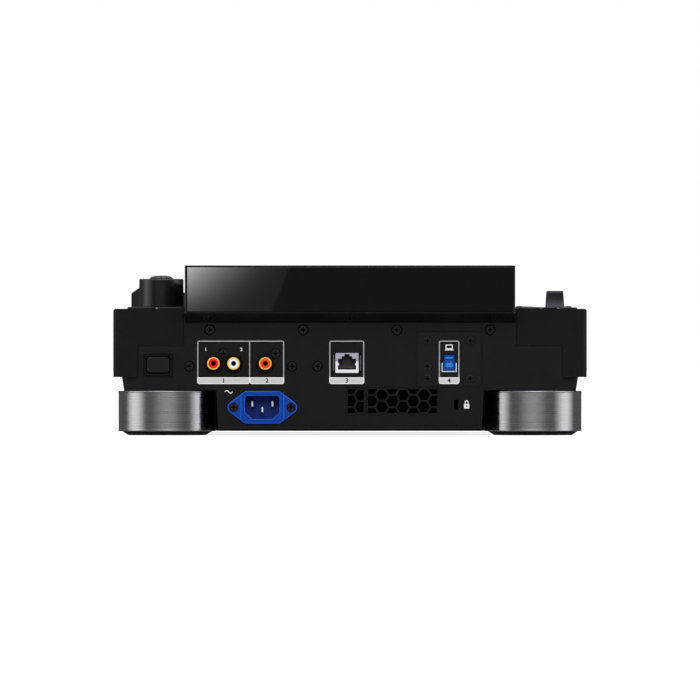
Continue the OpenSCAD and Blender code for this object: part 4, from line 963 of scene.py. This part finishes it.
def make_selector():
    """Selector knob: smooth drum with a round shoulder and a domed, notched crown."""
    low, high = corners("selector_knob")
    r = (high.x - low.x) / 2
    drum_h, crown_r, shoulder = 21.0, 8.4, 1.0
    top = DECK_Z + drum_h
    place = middle_of("selector_knob")
    bm = bmesh.new()
    shoulder_arc = [(r - shoulder + shoulder * cos(a), top - shoulder + shoulder * sin(a))
                    for a in (pi / 2 * i / 6 for i in range(7))]
    drum = [(0, low.z), (r - 0.5, low.z), (r, low.z + 0.5), *shoulder_arc,
            (crown_r + 1.2, top), (crown_r + 0.7, top - 0.35), (0, top - 0.35)]
    put(bm, lathe(drum, 128, closed=False), place)
    put(bm, stack(fluted(crown_r, 12, 0.9), [
        (top - 0.6, 1), (high.z - 1.9, 0.98), (high.z - 1.3, 0.92), (high.z - 0.7, 0.8),
        (high.z - 0.25, 0.62), (high.z, 0.4), (high.z, 0.1)]), place)
    stand_in("selector_knob", bm, [knob_abs], "selector_knob")


def make_small_knobs():
    """The two small knobs: fluted skirts and a white pointer."""
    for node in ("vinyl_speed_knob", "jog_adjust_knob"):
        low, high = corners(node)
        r = (high.x - low.x) / 2
        place = middle_of(node)
        foot, hub_r = DECK_Z + 0.6, 3
        bm = bmesh.new()
        put(bm, stack(fluted(r, 18, 0.35, width=3), [
            (foot, 0.97), (foot + 0.3, 1), (high.z - 1.6, 0.97), (high.z - 0.8, 0.93),
            (high.z - 0.25, 0.85), (high.z, 0.72), (high.z, 0.1)]), place)
        hub = [(0, low.z), (hub_r, low.z), (hub_r, foot + 1), (0, foot + 1)]
        put(bm, lathe(hub, 32, closed=False), place)
        pointer = rounded(0.9, r - 2.6, 0.3, 3, (0, r / 2 + 0.4))
        put(bm, plate(pointer, high.z - 0.3, high.z + INK), place, 1)
        stand_in(node, bm, [knob_abs, edge_ink], node)


def make_lever():
    """Direction lever: tapered paddle, hollowed on both faces, on its cross pin."""
    low, high = corners("direction_lever")
    pivot_z, pin_r = low.z + 2.6, 1.5
    hollow_r, hollow_y, hollow_z, hollow_reach = 26.0, 28.2, DECK_Z + 7.5, 7
    foot_w, taper_w, half_foot, half_root = 13.8, 1.8, 3.5, 1.6
    place = middle_of("direction_lever")

    def section(z, shrink=0.0):
        up = max(0.0, (z - DECK_Z) / (high.z - DECK_Z))
        w = foot_w - taper_w * up - 2 * shrink
        half = half_foot - up
        if z < pivot_z:
            half = half_root
        elif abs(z - hollow_z) < hollow_reach:
            half = min(half, hollow_y - sqrt(hollow_r ** 2 - (z - hollow_z) ** 2))
        return [(x, y, z) for x, y in rounded(w, 2 * half - 2 * shrink, 0.9 - 0.6 * shrink, 4)]

    heights = [low.z + 0.6, pivot_z, DECK_Z - 1] + [DECK_Z + 1.3 * i for i in range(1, 10)]
    sections = [section(z) for z in heights]
    sections += [section(high.z - 0.7), section(high.z - 0.3, 0.25), section(high.z - 0.08, 0.5),
                 section(high.z, 0.9)]
    bm = bmesh.new()
    put(bm, loft(sections), place, lambda face: 0 if abs(face.normal.y) > 0.93 else 1)
    w = high.x - low.x
    pin = lathe([(0, 0), (pin_r, 0), (pin_r, w), (0, w)], 24, closed=False)
    put(bm, pin, place @ Matrix.Translation(((low.x - high.x) / 2, 0, pivot_z))
        @ Matrix.Rotation(pi / 2, 4, "Y"), 1)
    stand_in("direction_lever", bm, [lever_aluminium, fader_abs],
             "direction_lever")


def make_fader_cap():
    """Tempo fader cap: sloping shoulders, a finger hollow across the top and a white line."""
    low, high = corners("fader_cap")
    w, d = high.x - low.x, high.y - low.y
    foot, shoulder, top, slope_w = DECK_Z + 1, DECK_Z + 12, high.z, 5.5
    finger_r, finger_y, finger_z = 11, 6.9, DECK_Z + 25.4
    place = middle_of("fader_cap")

    def section(y, shrink=0.0):
        dip = min(top, finger_z - sqrt(finger_r ** 2 - min(abs(y), finger_y) ** 2)) - shrink
        half = [(w / 2 - shrink, foot + shrink), (w / 2 - shrink, shoulder - shrink / 2),
                (w / 2 - slope_w - shrink / 2, dip)]
        return [(x, y, z) for x, z in eased(mirrored(half), 0.9)]

    rows = [-d / 2 + 0.55, -6, -5.4, -4.4, -3.2, -1.8, -0.6]
    bm = bmesh.new()
    sections = [section(-d / 2, 0.55), section(-d / 2 + 0.18, 0.2)] + [section(y) for y in rows]
    mirror = [[(x, -y, z) for x, y, z in part] for part in reversed(sections)]
    put(bm, loft(sections + mirror), place)
    put(bm, plate(rounded(w - 12.5, 0.9, 0.3, 3), DECK_Z + 14.0, DECK_Z + 14.5), place, 1)
    put(bm, plate(rounded(1.6, 8, 0.2, 2), low.z, foot + 1), place)
    stand_in("fader_cap", bm, [fader_abs, edge_ink], "fader_cap")


def make_fader_scale():
    """Scale printed beside the fader: a tick every tenth of its travel, longer at the middle."""
    low, high = corners("fader_cap")
    beside, pitch, line_w = 13.6, 5, 0.35
    x = (low.x + high.x) / 2 + beside
    y = (low.y + high.y) / 2
    bm = bmesh.new()
    for tick in range(-10, 11):
        length = 5.0 if tick == 0 else 3.4 if tick % 5 == 0 else 2.0
        mark = Matrix.Translation((x + length / 2 - 2, y + tick * pitch, DECK_Z))
        put(bm, plate(rounded(length, line_w, 0.1, 2), 0, INK), mark)
    new_piece("fader_scale_print", bm, [line_ink])


# ---------------------------------------------------------------- keys

def make_keys(node, finish, edge=0.6, lip=0.9, radius=1.5):
    """Caps of one node with eased edges, collars under the deck and nubs over the switches."""
    base = tilted(node) if lip == 0 else Matrix()
    cap_t, collar_t, nub_r = 4.6, 1.0, 1.5
    bm = bmesh.new()
    for points in islands(node):
        low, high = span([base.inverted() @ point for point in points])
        w, d = high.x - low.x - 2 * lip, high.y - low.y - 2 * lip
        top = ((low.x + high.x) / 2, (low.y + high.y) / 2, high.z)
        place = base @ Matrix.Translation(top)
        if lip:
            put(bm, plate(rounded(w, d, radius), -cap_t, 0, edge=edge), place)
            collar = rounded(w + 2 * lip, d + 2 * lip, radius)
            put(bm, plate(collar, -cap_t - collar_t, -cap_t - 0.01), place)
            nub = plate(circle(nub_r, 20), low.z - high.z, -cap_t - collar_t - 0.01)
            put(bm, nub, place)
        else:
            put(bm, plate(rounded(w, d, radius), low.z - high.z, 0, edge=edge), place)
    stand_in(node, bm, [finish], node)


def make_transport_key(node):
    """Round transport key: dark cap in a bright turned ring."""
    low, high = corners(node)
    lip, ring_w, shelf_depth, nub_r = 0.9, 3.2, 3.3, 1.5
    r = (high.x - low.x) / 2 - lip
    cap_r = r - ring_w
    shelf = DECK_Z - shelf_depth
    place = middle_of(node)
    bm = bmesh.new()
    put(bm, lathe(eased([(cap_r + 0.1, shelf), (r, shelf), (r, high.z - 0.7), (r - 0.7, high.z),
                         (r - 2.4, high.z), (cap_r + 0.1, high.z - 0.9)], 0.25, 3), 128), place)
    cap = [(0, low.z), (nub_r, low.z), (nub_r, shelf - 1), (r + lip, shelf - 1),
           (r + lip, shelf - 0.05), (cap_r, shelf - 0.05), (cap_r, high.z - 1.1),
           (cap_r - 0.5, high.z - 0.75), (cap_r - 4, high.z - 0.7), (0, high.z - 0.6)]
    put(bm, lathe(cap, 96, closed=False), place, 1)
    stand_in(node, bm, [ring_metal, key_abs], node)


make_feet()
make_screws()
make_base_shadow_strips()
make_phono_jacks()
make_network_jack()
make_usb_b_port()
make_mains_inlet()
make_power_switch()
make_print()
make_touch_glass()
make_back_glass()
make_jog()
make_selector()
make_small_knobs()
make_lever()
make_fader_cap()
make_fader_scale()
for node in NODES:
    if node.startswith("hot_cue"):
        make_keys(node, pad_silicone, edge=0.9)
    elif node == "screen_keys":
        make_keys(node, key_abs, lip=0, edge=0.3)
    elif node in ("play_key", "cue_key"):
        make_transport_key(node)
    elif node.endswith(("_key", "_keys")):
        make_keys(node, key_abs)


# ---------------------------------------------------------------- studio
# Places and sizes are in metres here; only the marks on the back glass are in millimetres

SIDES = (("right", 1), ("left", -1))
AIM = Vector((0, 0, 0.06))


def area_light(name, place, power, size, glossy=False):
    """Soft box aimed at the player; the camera doesn't see it, and gloss only where it says so."""
    data = bpy.data.lights.new(name, "AREA")
    data.shape = "RECTANGLE"
    data.size, data.size_y = size
    data.energy = power
    lamp = bpy.data.objects.new(name, data)
    bpy.context.scene.collection.objects.link(lamp)
    lamp.location = place
    lamp.rotation_mode = "QUATERNION"
    lamp.rotation_quaternion = (AIM - Vector(place)).to_track_quat("-Z", "Y")
    lamp.visible_camera = False
    lamp.visible_glossy = glossy


def make_camera():
    """Long lens straight at the rear panel, level with the middle of the object."""
    rear_distance = 9.79
    rear_view_width = 0.48615
    eye_height = 0.05935
    data = bpy.data.cameras.new("camera")
    data.lens = data.sensor_width * rear_distance / rear_view_width
    data.clip_end = 40
    camera = bpy.data.objects.new("camera", data)
    bpy.context.scene.collection.objects.link(camera)
    camera.location = (0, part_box("rear_panel")[1].y + rear_distance, eye_height)
    camera.rotation_euler = (pi / 2, 0, pi)
    bpy.context.scene.camera = camera


def sees_white(tree):
    """1 for a ray that sees white: the camera's own, or one sent on by gloss or glass."""
    path = add(tree, "ShaderNodeLightPath")
    seen = path.outputs["Is Camera Ray"]
    for kind in ("Is Glossy Ray", "Is Transmission Ray"):
        seen = add(tree, "ShaderNodeMath", {0: seen, 1: path.outputs[kind]},
                   operation="MAXIMUM").outputs[0]
    return seen


def make_world(level):
    """White to the camera, to metal and to glass; a plain fill light for everything else."""
    world = bpy.data.worlds.new("studio")
    bpy.context.scene.world = world
    world.use_nodes = True
    tree = world.node_tree
    back = tree.nodes["Background"]
    strength = add(tree, "ShaderNodeMapRange",
                   {"Value": sees_white(tree), "To Min": level, "To Max": 1.0})
    tree.links.new(strength.outputs["Result"], back.inputs["Strength"])
    back.inputs["Color"].default_value = (1, 1, 1, 1)


def stage_object(name, bm, material):
    """Turns a bmesh into a studio object that isn't part of the player."""
    mesh = bpy.data.meshes.new(name)
    bm.to_mesh(mesh)
    bm.free()
    mesh.materials.append(material)
    thing = bpy.data.objects.new(name, mesh)
    bpy.context.scene.collection.objects.link(thing)
    return thing


def make_floor():
    """Plain pale floor that shows white and keeps the shadow near the player."""
    material, tree, shader = surface("pale_paper", Base_Color=srgb("#e0e0e0"), Roughness=0.9,
                                     Specular_IOR_Level=0.0)
    near, far, near_glow = 0.4, 1.6, 0.78
    place = add(tree, "ShaderNodeTexCoord")
    away = add(tree, "ShaderNodeVectorMath", {0: place.outputs["Object"]}, operation="LENGTH")
    glow = add(tree, "ShaderNodeMapRange",
               {"Value": away.outputs["Value"], "From Min": near, "From Max": far,
                "To Min": near_glow, "To Max": 1.0})
    light = add(tree, "ShaderNodeEmission", {"Strength": glow.outputs["Result"]})
    both = add(tree, "ShaderNodeAddShader", {0: light.outputs[0], 1: shader.outputs[0]})
    pick = add(tree, "ShaderNodeMixShader",
               {0: sees_white(tree), 1: shader.outputs[0], 2: both.outputs[0]})
    tree.links.new(pick.outputs[0], tree.nodes["Material Output"].inputs["Surface"])
    bm = bmesh.new()
    bmesh.ops.create_grid(bm, x_segments=1, y_segments=1, size=30)
    stage_object("floor", bm, material)


def show_in_reflections_only(thing):
    """Hides a studio object from every ray but those that gloss sends out."""
    for ray in ("camera", "diffuse", "transmission", "volume_scatter", "shadow"):
        setattr(thing, "visible_" + ray, False)


# What a reflection card or cloth is made of: matt and near black but for its own white glow
CARD = {"Base_Color": srgb("#0a0a0a"), "Roughness": 1.0, "Specular_IOR_Level": 0.0,
        "Emission_Color": (1, 1, 1, 1)}


def make_tent(radius, height, glow):
    """Dusky cloth round and under the set: it keeps black plastic dark in reflections."""
    material = surface("grey_molton", **CARD, Emission_Strength=glow)[0]
    bm = bmesh.new()
    bmesh.ops.create_cone(bm, segments=64, radius1=radius, radius2=radius, depth=height,
                          cap_ends=True)
    bmesh.ops.translate(bm, verts=bm.verts, vec=(0, 0, height / 2 + MM))
    lid = max(bm.faces, key=lambda face: face.calc_center_median().z)
    bmesh.ops.delete(bm, geom=[lid], context="FACES_ONLY")
    show_in_reflections_only(stage_object("grey_tent", bm, material))


def make_reflector(name, azimuth, distance, width, foot, top, glow):
    """Upright white card with faded sides, seen only in reflections; azimuth 0 is the rear."""
    material, tree, shader = surface(name, **CARD)
    place = add(tree, "ShaderNodeTexCoord")
    parts = add(tree, "ShaderNodeSeparateXYZ", {0: place.outputs["UV"]})
    inward = add(tree, "ShaderNodeMath", {0: parts.outputs["X"], 1: 0.5}, operation="PINGPONG")
    fade = add(tree, "ShaderNodeMapRange",
               {"Value": inward.outputs[0], "From Max": 0.5, "To Max": glow},
               interpolation_type="SMOOTHSTEP")
    tree.links.new(fade.outputs["Result"], shader.inputs["Emission Strength"])
    bm = bmesh.new()
    bm.loops.layers.uv.new("UVMap")
    bmesh.ops.create_grid(bm, x_segments=1, y_segments=1, size=0.5, calc_uvs=True)
    turn = radians(azimuth)
    spot = (distance * sin(turn), distance * cos(turn), (foot + top) / 2)
    bm.transform(Matrix.Translation(spot) @ Matrix.Rotation(-turn, 4, "Z")
                 @ Matrix.Rotation(pi / 2, 4, "X") @ Matrix.Diagonal((width, top - foot, 1, 1)))
    show_in_reflections_only(stage_object(name, bm, material))


def make_glass_card():
    """Graded card beside the lens: the back glass mirrors it as a sheen with a slanted end."""
    lens = bpy.context.scene.camera.location / MM
    outer_x, inner_top_x, inner_foot_x, foot_z, top_z = 117, 40.4, 55.6, 84.0, 120.5
    peak, least, foot_share, across_power, upward_power = 15.5, 0.33, 0.06, 2.6, 1.6
    material, tree, shader = surface("graded_card", **CARD)
    place = add(tree, "ShaderNodeTexCoord")
    parts = add(tree, "ShaderNodeSeparateXYZ", {0: place.outputs["UV"]})
    across = add(tree, "ShaderNodeMath", {0: parts.outputs["X"], 1: across_power},
                 operation="POWER")
    upward = add(tree, "ShaderNodeMath", {0: parts.outputs["Y"], 1: upward_power},
                 operation="POWER")
    upward = add(tree, "ShaderNodeMapRange",
                 {"Value": upward.outputs[0], "To Min": foot_share, "To Max": 1.0})
    both = add(tree, "ShaderNodeMath", {0: across.outputs[0], 1: upward.outputs[0]},
               operation="MULTIPLY")
    glow = add(tree, "ShaderNodeMapRange",
               {"Value": both.outputs[0], "To Min": least, "To Max": peak})
    tree.links.new(glow.outputs["Result"], shader.inputs["Emission Strength"])
    bm = bmesh.new()
    uv = bm.loops.layers.uv.new("UVMap")
    marks = {(0, 0): (inner_foot_x, foot_z), (1, 0): (outer_x, foot_z),
             (1, 1): (outer_x, top_z), (0, 1): (inner_top_x, top_z)}
    # A point of the glass shows what lies as far beyond it as the lens is before it
    verts = [bm.verts.new(((2 * x - lens.x) * MM, lens.y * MM, (2 * z - lens.z) * MM))
             for x, z in marks.values()]
    face = bm.faces.new(verts)
    for loop, mark in zip(face.loops, marks):
        loop[uv].uv = mark
    show_in_reflections_only(stage_object("graded_card", bm, material))


make_camera()
make_world(level=0.55)
make_floor()
make_tent(radius=12, height=9, glow=0.12)
for side, sign in SIDES:
    make_reflector(f"side_card_{side}", azimuth=sign * 78.5, distance=2.4, width=3.0, foot=0.0,
                   top=1.2, glow=2.65)
make_reflector("rear_card", azimuth=0, distance=5.0, width=8.0, foot=1.2, top=3.2, glow=2.2)
make_glass_card()
for side, sign in SIDES:
    area_light(f"side_light_{side}", (sign * 2.2, 0.5, 0.35), power=12, size=(0.9, 0.7))
area_light("rear_light", (0, 4.0, 1.2), power=58, size=(1.2, 1.0))
area_light("top_light", (0, -0.3, 2.5), power=14, size=(1.6, 1.6), glossy=True)

bpy.context.scene.view_settings.view_transform = "Standard"
